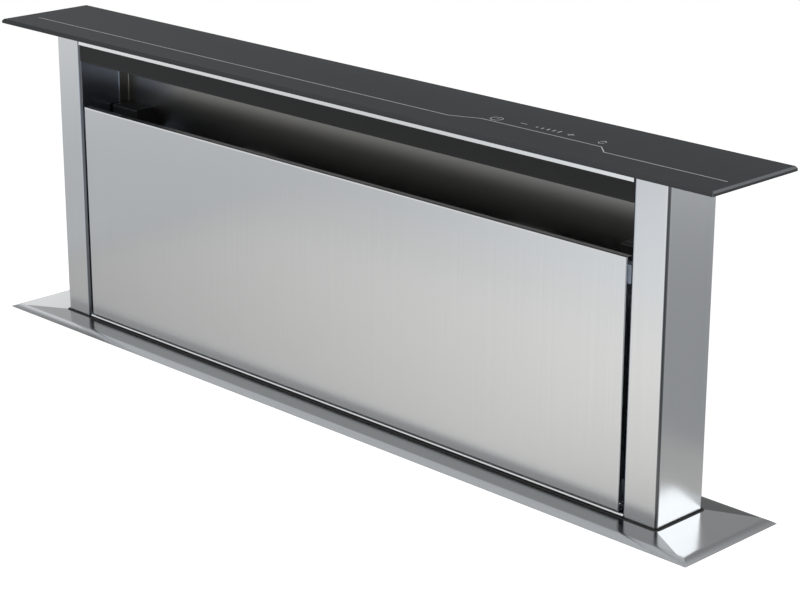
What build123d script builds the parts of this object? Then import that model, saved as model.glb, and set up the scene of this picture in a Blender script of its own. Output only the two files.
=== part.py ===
from build123d import *
import math
import os

# Downdraft vent: a glass-topped suction tower that rises out of a worktop.
# Millimetres, +Z up, the front faces -Y, the length runs along X.
# Origin: centre of the worktop cut-out, on the worktop's upper surface.
# The tower is drawn raised, which is its rest position.

# ---------------------------------------------------------------- glass top
PLATE_LENGTH = 880.0
PLATE_DEPTH = 105.0
PLATE_THICK = 4.0
PLATE_EDGE = 1.0                # bevel of the glass's upper edge
PLATE_CORNER = 1.5
RISE = 296.4                    # upper face of the glass above the worktop
CLOSED_GAP = 1.4                # glass to flange when the tower is down

# ------------------------------------------------------------------- tower
TOWER_WIDTH = 764.4
TOWER_DEPTH = 59.1
TOWER_FRONT = -28.7             # y of the tower's front face
COLUMN_FACE = 35.1
COLUMN_BEND = 3.0               # outer bend radius of the column profile
COLUMN_WALL = 1.2
COLUMN_BELOW = 134.0            # column length under the worktop when raised
SHEET = 1.0
LIP_END = 1.0                   # folded lip to the fold beside it
TRIM_HEIGHT = 11.4
TRIM_THICK = 1.5
HOUSING_HEIGHT = 28.9           # control housing under the glass
HOUSING_DEPTH = 24.0
HOUSING_WALL = 1.5
HOUSING_BEND = 0.8
PANEL_GAP = 4.3                 # open joint between panel and column
PANEL_THICK = 1.2
PANEL_RETURN = 6.5              # depth of the panel's folded edges
PANEL_CORNER = 1.5
PANEL_BOTTOM = 6.6
PANEL_HEIGHT = 213.5
PIVOT_R = 2.0                   # pins at the panel's lower corners
PIVOT_SET = 3.7                 # pivot behind the panel's face
PIVOT_RISE = 5.4                # pivot above the panel's lower edge
CABLE_HOLE_R = 4.0
REAR_LIP = 12.0
LOWER_SET = 1.2                 # lower front sheet behind the tower's front
BOTTOM_LIP = 10.0
STEP_AIR = 2.0                  # panel's lower edge to the step under it
UPSTAND_SET = 12.2              # upstand behind the tower's front
UPSTAND_RISE = 12.0             # upstand above the filters' foot
RAIL_PLAY = 0.5                 # front rail behind the panel's folded edge
RAIL_DEPTH = 8.0
RAIL_HEIGHT = 16.0
RAIL_SET = 8.1                  # front rail below the panel's upper edge
MAGNET_AIR = 0.3
MAGNET_SET = 102.1              # magnet to the column
MAGNET_WIDTH = 22.0
MAGNET_HEIGHT = 14.0
MAGNET_EDGE = 0.6
SCOOP_BEND = 26.0
SCOOP_DROP = 42.0
FIT = 0.3                       # air between pieces that only sit together

# -------------------------------------------------------------- filters
FILTER_THICK = 9.0
FILTER_FRAME = 12.0
FILTER_ROWS = 9
FILTER_COLUMNS = 5
FILTER_BOTTOM = 18.0
FILTER_SET = 30.1               # filters' top below the panel's upper edge
FILTER_GAP = 1.5
FILTER_FOOT_SET = 18.7          # filters' foot behind the tower's front
FILTER_BACK_AIR = 8.4           # filters' top in front of the tower's back
FILTER_END = 2.5                # filter to column
FILTER_CORNER = 3.0
MESH_THICK = 3.0
MESH_BITE = 4.0                 # how far the core reaches into the frame
MESH_PLAY = 0.1
SLIT_BRIDGE = 5.0
TAB_WIDTH = 46.0
TAB_HEIGHT = 9.0
TAB_REACH = 7.0
TAB_BAR = 2.5                   # bars of the pull tab's loop
LEDGE_LIP = 4.0
LEDGE_BEND = 0.6
HOLDER_WIDTH = 38.0
HOLDER_DEPTH = 21.4
HOLDER_FOOT = 11.4              # depth of the holder's underside
HOLDER_SLOPE = 11.2             # height of the slope under the holder's nose
HOLDER_HEIGHT = 25.0
HOLDER_EDGE = 1.5
HOLDER_AIR = 1.5
TOP_RAIL_REACH = 3.0            # rail's front edge in front of the filters' middle
TOP_RAIL_DROP = 12.0
TOP_RAIL_AIR = 0.8              # rail's end to the holder

# -------------------------------------------------------------- flange
FLANGE_OVER_ENDS = 19.5         # flange beyond the casing's ends
FLANGE_OVER_EDGES = 12.0        # flange beyond the casing's front and back
FLANGE_THICK = 3.0
FLANGE_SHEET = 1.0
FLANGE_BEVEL = 7.0
FLANGE_COLLAR = 12.0            # depth of the down-turned collar
TOWER_CLEARANCE = 1.4           # tower to collar, all round
GASKET_INSET = 0.5
WIPER_PLAY = 0.4
WIPER_HEIGHT = 6.0

# -------------------------------------------------------------- casing
CASING_OVER_ENDS = 35.8         # casing beyond the tower's ends
CASING_OVER_FRONT = 20.3
CASING_OVER_BACK = 13.6
CASING_BOTTOM = -728.0
CASING_SHEET = 1.0
CASING_LIP = 9.0
CASING_BEND = 0.8
SIDE_LIP = 15.0
TRAY_WALL = 14.0
TRAY_CORNER = 4.0
RIVET_R = 3.2
RIVET_HEAD = 0.9
RIVET_ROWS = 3
RIVET_END = 40.0

# ------------------------------------------------------------ lift guides
RAIL_WIDTH = 26.0
RAIL_SHEET = 1.5
RAIL_BEND = 1.0
RAIL_TOP = -16.0
RAIL_AIR = 2.0                  # rail's foot above the gear case
GUIDE_DEPTH = 20.0              # depth of the rail's channel
SHOE_LENGTH = 28.0
SHOE_PITCH = 62.0
SHOE_ROWS = 2
SHOE_SET = 22.0                 # upper shoe below the rail's end
SHOE_PLAY = 0.35
SHOE_EDGE = 1.0
SHOE_FLANGE = 4.0
SHOE_WIDTH = 42.0
BUFFER_HEIGHT = 11.0
BUFFER_SET = 2.0                # buffer behind the rail's mouth

# ------------------------------------------------------------- lift drive
SPINDLE_R = 6.0
SPINDLE_OVER = 24.0             # spindle end above the column's foot when raised
SPINDLE_TIP = 1.5
NUT_R = 11.0
NUT_FLANGE_R = 15.5
NUT_FLANGE = 4.0
FOOT_PLATE = 4.0
JOURNAL = 16.0                  # shaft length inside a gear case
SPINDLE_COLLAR_R = 10.0
SPINDLE_COLLAR = 4.0
NUT_HEIGHT = 22.0
RUNNING = 0.05                  # radial clearance of a turning shaft
GEAR_CASE = 44.0                # edge length of a spindle gear case
GEAR_CORNER = 6.0
DRIVE_ROOM = 30.0               # gear case below the column's foot when the tower is down
DRIVE_SHAFT_R = 5.0
LIFT_MOTOR_R = 27.0
LIFT_MOTOR_LENGTH = 128.0
LIFT_MOTOR_EDGE = 3.0
SHAFT_BOSS_R = 10.0
SHAFT_BOSS = 5.0
END_AIR = 1.0                   # end of a shaft to the bottom of its bore
COUPLER_R = 9.0
COUPLER_LENGTH = 26.0
COUPLER_AIR = 7.0               # coupler to the motor's boss
BRACKET_SHEET = 2.0
BRACKET_DROP = 40.0
BRACKET_RISE = 20.0
BRACKET_END = 2.0               # shelf beyond the gear case's inner side
BRACKET_SIDE = 3.0              # shelf beyond the gear case's front and back
BRACKET_NOSE = 6.0              # gusset's tip from the shelf's edge
SADDLE_WIDTH = 104.0
SADDLE_DROP = 34.0
SADDLE_REACH = 20.0

# --------------------------------------------------------------- blower
BOX_LEFT = 150.0                # box walls measured from the fan axis
BOX_RIGHT = 172.0
BOX_TOP = 180.0
BOX_DROP = 142.0
BOX_SHEET = 1.2
BOX_LIP = 12.0
FAN_RISE = 176.0                # fan axis above the casing's bottom
INLET_AIR = 1.0                 # inlet ring inside the blades
INLET_SHEET = 1.5
IMPELLER_R = 98.0
BLADE_DEPTH = 15.0
IMPELLER_WIDTH = 104.0
BLADES = 28
BLADE_THICK = 1.2
BLADE_RIM = 1.0                 # blades inside the discs' edges
BLADE_LEAN = 4.9                # forward lean of the blade's tip
BLADE_CURVE = 3.1
HUB_SHEET = 2.0
SCROLL_AIR = 8.0                # impeller to the scroll's tongue
SCROLL_GROWTH = 42.0            # spiral growth from the tongue to the top
SCROLL_STATIONS = 8
SCROLL_TONGUE = 30.0            # degrees above the horizontal
SCROLL_WALL = 2.0
SCROLL_WIDTH = 138.0
ROTOR_R = 44.0
ROTOR_WALL = 3.0
ROTOR_LENGTH = 48.0
ROTOR_PLAY = 0.1                # rotor in the impeller's hub
STATOR_R = 38.0
STATOR_AIR = 1.5                # stator to the rotor's floor
MOTOR_SHAFT_R = 4.0
MOTOR_SHAFT_AIR = 6.0
MOTOR_PLATE = 3.0
OUTLET_R = 74.5                 # outside of the round outlet collar
OUTLET_WALL = 2.0
OUTLET_LENGTH = 80.0
FLAP_THICK = 1.6
FLAP_PLAY = 1.2
FLAP_PIN_R = 2.0
FLAP_PIN_X = 10.0               # pin beyond the box's right wall
KNUCKLE_R = 4.0
KNUCKLE = 30.0                  # length of a flap's hinge knuckle
KNUCKLE_PITCH = 68.0
KNUCKLE_SHIFT = 18.0            # knuckles of one flap above those of the other
FLAP_ROOT = 5.0                 # flap edge to pin centre
COLLAR_MARGIN = 8.0             # screw flange round the outlet
COLLAR_CORNER = 6.0
COLLAR_FLANGE = 2.0
COLLAR_SIDE = 4.5               # screw flange to the box's front and back
COLLAR_TOP = 6.5                # screw flange to the box's top
FUNNEL_CORNER = 6.0
COVER_BORDER = 34.0
COVER_PRESS = 5.0
COVER_LAND = 0.2
SCREW_R = 2.0
SCREW_PLAY = 0.1
SCREW_HEAD_R = 4.2
SCREW_HEAD = 2.2
SCREW_END = 5.0
INLET_FLANGE = 20.0
INLET_BEND = 6.0
INLET_DEPTH = 16.0
INLET_LAP = 4.0                 # impeller's shroud over the inlet ring
INLET_GAP = 2.0
SCROLL_BACK = 4.0               # scroll in front of the casing
SCROLL_MOUTH = 6.0              # mouth beyond the spiral's start
ROTOR_RIM = 8.0
ROTOR_RIM_THICK = 1.6
MOTOR_FLANGE = 14.0

# ------------------------------------------------------------ electronics
MODULE_WIDTH = 210.0
MODULE_HEIGHT = 130.0
MODULE_DEPTH = 52.0
MODULE_WALL = 2.5
MODULE_CORNER = 5.0
MODULE_X = -245.0
MODULE_TOP = -96.0
MODULE_POST = 6.0
POST_INSET = 16.0
POST_R = 3.0
BOARD_THICK = 1.6
BOARD_INSET = 11.0              # power board inside the module's outline
TRANSFORMER_WIDTH = 42.0
TRANSFORMER_HEIGHT = 36.0
TRANSFORMER_DEPTH = 26.0
TRANSFORMER_SHIFT = 41.0
CAPACITOR_R = 8.0
CAPACITOR_HEIGHT = 24.0
CAPACITOR_PITCH = 22.0
CAPACITOR_SHIFT = 34.0
CAPACITOR_RISE = 14.0
CAPACITORS = 3
GLAND_R = 9.0
GLAND_BORE_R = 5.0
GLAND_LENGTH = 14.0             # gland below the box
GLAND_TAIL = 4.0                # gland beyond the box's wall, inside
GLAND_NUT = 6.0
GLAND_NUT_RIM = 4.0
GLAND_TIP = 2.0
LID_SLOTS = 6
SLOT_LENGTH = 60.0
SLOT_WIDTH = 5.8
SLOT_PITCH = 14.4
SLOT_SET = 28.9                 # first slot below the lid's upper edge
TOUCH_AIR = 0.2                 # touch pads to the glass
TOUCH_HEIGHT = 3.0              # touch pads on the board
BOARD_LENGTH = 190.0
BOARD_WIDTH = 17.0
BOARD_CORNER = 1.5
BOARD_SET = 115.1               # middle of the touch field to the right column
BOARD_POSTS = 3
BOARD_POST_PITCH = 82.0
TOUCH_PADS = 7
TOUCH_PITCH = 24.0
TOUCH_PAD = 9.0

# ------------------------------------------------------------------- feet
FOOT_X = 300.0
FOOT_WIDTH = 34.0
FOOT_HEIGHT = 15.0
FOOT_SHEET = 2.0
FOOT_LIP = 16.0
FOOT_BEND = 1.0
FOOT_HOLE_R = 3.2
FOOT_HOLE_X = 9.0               # foot hole beside the rail's web
FOOT_HOLE_PITCH = 110.0
FOOT_HOLE_BACK = 24.0           # rear foot hole in front of the casing
CLAMP_WIDTH = 40.0
CLAMP_REACH = 13.0              # screw from the casing's end
CLAMP_END = 6.0                 # bracket beyond the screw
CLAMP_DROP = 62.0
CLAMP_SHEET = 2.0
CLAMP_BEND = 1.5
CLAMP_LEG = 44.0
CLAMP_SCREW_R = 3.0
CLAMP_SCREW_PLAY = 0.1
CLAMP_SCREW_DROP = 16.0
CLAMP_SCREW_RISE = 20.0
CLAMP_PAD_RIM = 3.0
CLAMP_PAD = 3.0
CLAMP_HEAD = 5.0
OVERCUT = 1.0                   # how far a cutting tool runs past the face
SINK = 0.5                      # how far a welded piece sinks into its base

# --------------------------------------------------------- derived places
TOWER_Y = TOWER_FRONT + TOWER_DEPTH / 2
TOWER_BACK = TOWER_FRONT + TOWER_DEPTH
PLATE_BOTTOM = RISE - PLATE_THICK
TRAVEL = PLATE_BOTTOM - FLANGE_THICK - CLOSED_GAP
MOUTH_BOTTOM = PANEL_BOTTOM + PANEL_HEIGHT
MOUTH_TOP = PLATE_BOTTOM - TRIM_HEIGHT
HOUSING_BOTTOM = PLATE_BOTTOM - HOUSING_HEIGHT
HOUSING_FRONT = TOWER_FRONT + TRIM_THICK
BOARD_Z = PLATE_BOTTOM - TOUCH_AIR - TOUCH_HEIGHT - BOARD_THICK
BOARD_Y = HOUSING_FRONT + HOUSING_DEPTH / 2
COLUMN_X = TOWER_WIDTH / 2 - COLUMN_FACE / 2
INNER_X = TOWER_WIDTH / 2 - COLUMN_FACE
BOARD_CENTRE = INNER_X - BOARD_SET
MAGNET_X = INNER_X - MAGNET_SET
COLUMN_BOTTOM = -COLUMN_BELOW
PIVOT_Y = TOWER_FRONT + PIVOT_SET
PIVOT_Z = PANEL_BOTTOM + PIVOT_RISE
FILTER_TOP = MOUTH_BOTTOM - FILTER_SET
FILTER_FOOT_Y = TOWER_FRONT + FILTER_FOOT_SET
FILTER_TOP_Y = TOWER_BACK - FILTER_BACK_AIR
FILTER_LEAN = math.atan2(FILTER_TOP_Y - FILTER_FOOT_Y, FILTER_TOP - FILTER_BOTTOM)
FILTER_WIDTH = INNER_X - FILTER_END - FILTER_GAP / 2
FILTER_HEIGHT = (FILTER_TOP - FILTER_BOTTOM) / math.cos(FILTER_LEAN)
UPSTAND_Y = TOWER_FRONT + UPSTAND_SET
CASING_LENGTH = TOWER_WIDTH + 2 * CASING_OVER_ENDS
CASING_FRONT = TOWER_FRONT - CASING_OVER_FRONT
CASING_BACK = TOWER_BACK + CASING_OVER_BACK
CASING_DEPTH = CASING_BACK - CASING_FRONT
CASING_TOP = FLANGE_THICK - FLANGE_SHEET
FLANGE_LENGTH = CASING_LENGTH + 2 * FLANGE_OVER_ENDS
FLANGE_DEPTH = CASING_DEPTH + 2 * FLANGE_OVER_EDGES
FLANGE_Y = (CASING_FRONT + CASING_BACK) / 2
RIVET_X = CASING_LENGTH / 2 - CASING_SHEET - SIDE_LIP / 2
RAIL_MOUTH_X = CASING_LENGTH / 2 - CASING_SHEET - GUIDE_DEPTH
SHOE_TOP = RAIL_TOP - SHOE_SET
GEAR_CASE_TOP = COLUMN_BOTTOM - TRAVEL - DRIVE_ROOM
RAIL_BOTTOM = GEAR_CASE_TOP + RAIL_AIR
SHAFT_Z = GEAR_CASE_TOP - GEAR_CASE / 2
FAN_Z = CASING_BOTTOM + FAN_RISE
BOX_DEPTH = 2 * (OUTLET_R + COLLAR_SIDE) + COLLAR_MARGIN
BOX_FRONT = CASING_FRONT - BOX_DEPTH
OUTLET_Y = CASING_FRONT - BOX_DEPTH / 2
OUTLET_Z = FAN_Z + BOX_TOP - COLLAR_TOP - COLLAR_MARGIN / 2 - OUTLET_R
FLAP_X = BOX_RIGHT + FLAP_PIN_X
FLAP_R = OUTLET_R - OUTLET_WALL - FLAP_PLAY
INLET_R = IMPELLER_R - BLADE_DEPTH - INLET_AIR
SCROLL_START_R = IMPELLER_R + SCROLL_AIR
SCROLL_MOUTH_X = SCROLL_START_R + SCROLL_MOUTH
SCROLL_LOW = SCROLL_START_R * math.sin(math.radians(SCROLL_TONGUE))
SCROLL_HIGH = SCROLL_START_R + SCROLL_GROWTH
SCROLL_FRONT = SCROLL_BACK + SCROLL_WIDTH
IMPELLER_BACK = SCROLL_BACK + INLET_DEPTH - INLET_LAP
IMPELLER_FRONT = IMPELLER_BACK + IMPELLER_WIDTH
ROTOR_BACK = IMPELLER_FRONT - ROTOR_LENGTH
MODULE_Z = MODULE_TOP - MODULE_HEIGHT / 2
MODULE_BOTTOM = MODULE_TOP - MODULE_HEIGHT
GLAND_Y = CASING_FRONT - MODULE_DEPTH / 2
FOOT_BOTTOM = CASING_BOTTOM - FOOT_HEIGHT
FOOT_HOLE_ROW = FOOT_X + FOOT_WIDTH / 2 + FOOT_HOLE_X
FOOT_HOLE_FRONT = CASING_FRONT - FOOT_HOLE_BACK - FOOT_HOLE_PITCH
CLAMP_X = CASING_LENGTH / 2 + CLAMP_REACH


def block(x0, x1, y0, y1, z0, z1):
    """Solid box between two corners."""
    size = (x1 - x0, y1 - y0, z1 - z0)
    return Pos((x0 + x1) / 2, (y0 + y1) / 2, (z0 + z1) / 2) * Box(*size)


def rod(radius, length, start, direction):
    """Round bar of the given length from a start point along a direction."""
    return extrude(Plane(origin=start, z_dir=direction) * Circle(radius), length)


def mirrored(shape):
    """The same piece on the other end of the unit."""
    return mirror(shape, about=Plane.YZ)


def tube_profile(width, depth, radius, wall):
    """Closed rectangular profile with round bends."""
    outer = RectangleRounded(width, depth, radius)
    inner = RectangleRounded(width - 2 * wall, depth - 2 * wall, max(radius - wall, 0.4))
    return outer - inner


def save(name, shape):
    """Write one named piece."""
    solids = shape.solids() if hasattr(shape, "solids") else shape
    body = solids[0] if len(solids) == 1 else Compound(children=list(solids))
    body.label = name
    export_step(body, f"parts/{name}.step")


def sheet_profile(path, thick, bend):
    """Section of a folded sheet: a path of corners, thickened to its left, with round bends."""
    line = FilletPolyline(*path, radius=bend)
    return make_face(offset(line, amount=thick, side=Side.LEFT, closed=True))


def along_x(section, x0, x1):
    """Run a section drawn in (y, z) from x0 to x1."""
    return extrude(Plane(origin=(x0, 0, 0), x_dir=(0, 1, 0), z_dir=(1, 0, 0)) * section, x1 - x0)


def along_y(section, y0, y1):
    """Run a section drawn in (x, z) from y0 to y1."""
    return extrude(Plane(origin=(0, y1, 0), x_dir=(1, 0, 0), z_dir=(0, -1, 0)) * section, y1 - y0)


def along_z(section, z0, z1):
    """Run a section drawn in (x, y) from z0 to z1."""
    return extrude(Plane.XY.offset(z0) * section, z1 - z0)


def ring_plate(length, depth, inner_length, inner_depth, y, z0, z1, corner=0.5):
    """Flat rectangular ring about a centre line at y."""
    outer = RectangleRounded(length, depth, corner)
    inner = RectangleRounded(inner_length, inner_depth, corner)
    return along_z(Pos(0, y) * (outer - inner), z0, z1)


# ==================================================================== tower
def glass_top():
    plate = block(
        -PLATE_LENGTH / 2, PLATE_LENGTH / 2, -PLATE_DEPTH / 2, PLATE_DEPTH / 2, PLATE_BOTTOM, RISE
    )
    plate = fillet(plate.edges().filter_by(Axis.Z), PLATE_CORNER)
    return chamfer(plate.faces().sort_by(Axis.Z)[-1].edges(), PLATE_EDGE)


def column(side):
    """Hollow column with the panel's pivot hole and a cable hole in its inner wall."""
    profile = tube_profile(COLUMN_FACE, TOWER_DEPTH, COLUMN_BEND, COLUMN_WALL)
    tube = Pos(side * COLUMN_X, TOWER_Y, 0) * along_z(profile, COLUMN_BOTTOM, PLATE_BOTTOM)
    start = side * (INNER_X + COLUMN_WALL + OVERCUT)
    depth = COLUMN_WALL + 2 * OVERCUT
    cable_z = (HOUSING_BOTTOM + PLATE_BOTTOM) / 2
    tube -= rod(PIVOT_R + RUNNING, depth, (start, PIVOT_Y, PIVOT_Z), (-side, 0, 0))
    return tube - rod(CABLE_HOLE_R, depth, (start, BOARD_Y, cable_z), (-side, 0, 0))


def rear_wall():
    """Back sheet of the tower, folded forward along both columns and under the glass."""
    path = [
        (-INNER_X + SHEET, TOWER_BACK - REAR_LIP),
        (-INNER_X + SHEET, TOWER_BACK - SHEET),
        (INNER_X - SHEET, TOWER_BACK - SHEET),
        (INNER_X - SHEET, TOWER_BACK - REAR_LIP),
    ]
    wall = along_z(sheet_profile(path, SHEET, SHEET), COLUMN_BOTTOM, PLATE_BOTTOM)
    half = INNER_X - 2 * SHEET - LIP_END
    lip = block(
        -half, half, TOWER_BACK - REAR_LIP, TOWER_BACK - SHEET, PLATE_BOTTOM - SHEET, PLATE_BOTTOM
    )
    return wall + lip


def lower_front_sheet():
    """Front sheet below the panel: it steps back above the flange to clear the panel's foot."""
    y0 = TOWER_FRONT + LOWER_SET
    step = PANEL_BOTTOM - STEP_AIR
    path = [
        (UPSTAND_Y, FILTER_BOTTOM + UPSTAND_RISE),
        (UPSTAND_Y, step),
        (y0, step),
        (y0, COLUMN_BOTTOM),
        (y0 + BOTTOM_LIP, COLUMN_BOTTOM),
    ]
    return along_x(sheet_profile(path, SHEET, SHEET), -INNER_X, INNER_X)


def front_top_rail():
    """Channel behind the panel's upper edge, between the columns."""
    y0 = TOWER_FRONT + PANEL_RETURN + RAIL_PLAY
    z1 = MOUTH_BOTTOM - RAIL_SET
    z0 = z1 - RAIL_HEIGHT
    path = [(y0 + RAIL_DEPTH, z1), (y0, z1), (y0, z0), (y0 + RAIL_DEPTH, z0)]
    return along_x(sheet_profile(path, SHEET, SHEET), -INNER_X, INNER_X)


def panel_magnets():
    """Two magnet catches on the rail, just short of the panel's inner face."""
    y0 = TOWER_FRONT + PANEL_THICK + MAGNET_AIR
    y1 = TOWER_FRONT + PANEL_RETURN + RAIL_PLAY
    z1 = MOUTH_BOTTOM - PANEL_THICK - MAGNET_AIR
    z0 = z1 - MAGNET_HEIGHT
    magnet = block(MAGNET_X - MAGNET_WIDTH / 2, MAGNET_X + MAGNET_WIDTH / 2, y0, y1, z0, z1)
    magnet = chamfer(magnet.faces().sort_by(Axis.Y)[0].edges(), MAGNET_EDGE)
    return [magnet, mirrored(magnet)]


def control_housing():
    """Black channel under the glass that carries the touch board."""
    y0 = HOUSING_FRONT + HOUSING_WALL
    y1 = HOUSING_FRONT + HOUSING_DEPTH - HOUSING_WALL
    floor = HOUSING_BOTTOM + HOUSING_WALL
    path = [(y1, PLATE_BOTTOM), (y1, floor), (y0, floor), (y0, PLATE_BOTTOM)]
    channel = along_x(sheet_profile(path, HOUSING_WALL, HOUSING_BEND), -INNER_X, INNER_X)
    for i in range(BOARD_POSTS):
        x = BOARD_CENTRE + (i - (BOARD_POSTS - 1) / 2) * BOARD_POST_PITCH
        channel += rod(POST_R, BOARD_Z - floor + SINK, (x, BOARD_Y, floor - SINK), (0, 0, 1))
    return channel


def touch_board():
    """Circuit board with a row of sprung touch pads just under the glass."""
    top = BOARD_Z + BOARD_THICK
    outline = RectangleRounded(BOARD_LENGTH, BOARD_WIDTH, BOARD_CORNER)
    pads = GridLocations(TOUCH_PITCH, 0, TOUCH_PADS, 1) * Rectangle(TOUCH_PAD, TOUCH_PAD)
    board = along_z(outline, BOARD_Z, top) + along_z(Sketch() + pads, top, top + TOUCH_HEIGHT)
    return Pos(BOARD_CENTRE, BOARD_Y, 0) * board


def mouth_trim():
    """Bright strip over the mouth, in line with the tower's front."""
    return block(-INNER_X, INNER_X, TOWER_FRONT, HOUSING_FRONT, MOUTH_TOP, PLATE_BOTTOM)


def air_scoop():
    """Curved sheet that turns the air from the mouth down the rear wall."""
    y0 = HOUSING_FRONT + HOUSING_DEPTH
    y1 = TOWER_BACK - 2 * SHEET
    top = PLATE_BOTTOM - 2 * SHEET
    half = INNER_X - SHEET - LIP_END
    path = [(y0, top), (y1, top), (y1, top + SHEET - SCOOP_DROP)]
    return along_x(sheet_profile(path, SHEET, SCOOP_BEND), -half, half)


# ============================================================= front panel
def front_panel():
    """Folded steel tray with a pivot pin at each lower corner."""
    half = INNER_X - PANEL_GAP
    back = TOWER_FRONT + PANEL_RETURN
    tray = block(-half, half, TOWER_FRONT, back, PANEL_BOTTOM, MOUTH_BOTTOM)
    tray = fillet(tray.faces().sort_by(Axis.Y)[0].edges(), PANEL_CORNER)
    t = PANEL_THICK
    tray -= block(
        -half + t, half - t, TOWER_FRONT + t, back + OVERCUT, PANEL_BOTTOM + t, MOUTH_BOTTOM - t
    )
    for side in (-1, 1):
        start = (side * (half - t / 2), PIVOT_Y, PIVOT_Z)
        tray += rod(PIVOT_R, PANEL_GAP + t / 2 + COLUMN_WALL, start, (side, 0, 0))
    return tray


# ================================================================= filters
def filter_place(side):
    """Middle plane of one leaning filter: x along the unit, y up the filter."""
    up = Vector(0, math.sin(FILTER_LEAN), math.cos(FILTER_LEAN))
    foot = Plane(
        origin=(0, FILTER_FOOT_Y, FILTER_BOTTOM), x_dir=(1, 0, 0), z_dir=Vector(1, 0, 0).cross(up)
    )
    return foot * Pos(side * (FILTER_WIDTH + FILTER_GAP) / 2, FILTER_HEIGHT / 2)


def filter_rectangle(grow=0.0):
    """The filter's window, grown outwards."""
    return Rectangle(
        FILTER_WIDTH - 2 * (FILTER_FRAME - grow), FILTER_HEIGHT - 2 * (FILTER_FRAME - grow)
    )


def filter_frames():
    """Aluminium edge frames of the two filters, each with a pull tab on its front."""
    rim = RectangleRounded(FILTER_WIDTH, FILTER_HEIGHT, FILTER_CORNER) - filter_rectangle()
    loop = Rectangle(TAB_WIDTH, TAB_HEIGHT) - Rectangle(TAB_WIDTH - 2 * TAB_BAR, TAB_HEIGHT - 2 * TAB_BAR)
    tab = Pos(0, FILTER_HEIGHT / 2 - FILTER_FRAME / 2, FILTER_THICK / 2) * loop
    frames = []
    for side in (-1, 1):
        here = filter_place(side)
        frame = extrude(here * rim, FILTER_THICK / 2, both=True)
        frame -= extrude(here * filter_rectangle(MESH_BITE), MESH_THICK / 2, both=True)
        frames.append(frame + extrude(here * tab, TAB_REACH))
    return frames


def filter_meshes():
    """Slotted aluminium cores held in the frames' grooves."""
    window = filter_rectangle().bounding_box().size
    pitch_x = window.X / FILTER_COLUMNS
    pitch_y = window.Y / FILTER_ROWS
    slits = GridLocations(pitch_x, pitch_y, FILTER_COLUMNS, FILTER_ROWS)
    slit = Rectangle(pitch_x - SLIT_BRIDGE, pitch_y - SLIT_BRIDGE)
    core = filter_rectangle(MESH_BITE - MESH_PLAY) - slits * slit
    thick = MESH_THICK / 2 - MESH_PLAY
    return [extrude(filter_place(side) * core, thick, both=True) for side in (-1, 1)]


def filter_ledge():
    """Shelf under the filters, fixed to the front sheet's upstand."""
    half_depth = FILTER_THICK / 2
    top = FILTER_BOTTOM - half_depth * math.sin(FILTER_LEAN) - FIT
    rear_face = FILTER_FOOT_Y + half_depth / math.cos(FILTER_LEAN) + LEDGE_LIP * math.tan(FILTER_LEAN)
    heel = rear_face + FIT + SHEET
    y0 = UPSTAND_Y + SHEET
    path = [(y0, top - SHEET), (heel, top - SHEET), (heel, top + LEDGE_LIP)]
    return along_x(sheet_profile(path, SHEET, LEDGE_BEND), -INNER_X, INNER_X)


def filter_holders():
    """Black end blocks on the rear wall over the filters' outer top corners."""
    z0 = FILTER_TOP + HOLDER_AIR
    z1 = z0 + HOLDER_HEIGHT
    x1 = INNER_X - 2 * SHEET - FIT
    y1 = TOWER_BACK - SHEET
    nose = y1 - HOLDER_DEPTH
    section = Polyline(
        (y1, z0), (y1 - HOLDER_FOOT, z0), (nose, z0 + HOLDER_SLOPE), (nose, z1), (y1, z1), close=True
    )
    holder = along_x(make_face(section), x1 - HOLDER_WIDTH, x1)
    holder = fillet(holder.edges().filter_by(Axis.X).sort_by(Axis.Y)[:2], HOLDER_EDGE)
    return [holder, mirrored(holder)]


def filter_top_rail():
    """Angle on the rear wall that closes the gap over the filters, between the holders."""
    y1 = TOWER_BACK - 2 * SHEET
    z = FILTER_TOP + FIT + SHEET
    half = INNER_X - 2 * SHEET - FIT - HOLDER_WIDTH - TOP_RAIL_AIR
    path = [(FILTER_TOP_Y - TOP_RAIL_REACH, z), (y1, z), (y1, z + SHEET - TOP_RAIL_DROP)]
    return along_x(sheet_profile(path, SHEET, LEDGE_BEND), -half, half)


# =========================================================== flange and seals
def worktop_flange():
    """Bevelled steel frame with a down-turned collar round the tower's opening."""
    t = FLANGE_SHEET
    here = Pos(0, FLANGE_Y)
    lower = Plane.XY * here * Rectangle(FLANGE_LENGTH, FLANGE_DEPTH)
    shrink = 2 * FLANGE_BEVEL
    upper = Plane.XY.offset(FLANGE_THICK) * here * Rectangle(FLANGE_LENGTH - shrink, FLANGE_DEPTH - shrink)
    slope = math.hypot(FLANGE_BEVEL, FLANGE_THICK) / FLANGE_THICK
    inset = 2 * t * slope
    low_in = Plane.XY * here * Rectangle(FLANGE_LENGTH - inset, FLANGE_DEPTH - inset)
    run = shrink * (FLANGE_THICK - t) / FLANGE_THICK
    high_in = Plane.XY.offset(FLANGE_THICK - t) * here * Rectangle(
        FLANGE_LENGTH - inset - run, FLANGE_DEPTH - inset - run
    )
    frame = loft([lower, upper]) - loft([low_in, high_in])
    length = TOWER_WIDTH + 2 * TOWER_CLEARANCE
    depth = TOWER_DEPTH + 2 * TOWER_CLEARANCE
    radius = COLUMN_BEND + TOWER_CLEARANCE
    opening = RectangleRounded(length, depth, radius)
    neck = RectangleRounded(length + 2 * t, depth + 2 * t, radius + t)
    collar = along_z(Pos(0, TOWER_Y) * neck, -FLANGE_COLLAR, FLANGE_THICK - t / 2)
    frame += collar
    cut = along_z(Pos(0, TOWER_Y) * opening, -FLANGE_COLLAR - OVERCUT, FLANGE_THICK + OVERCUT)
    return frame - cut


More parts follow.
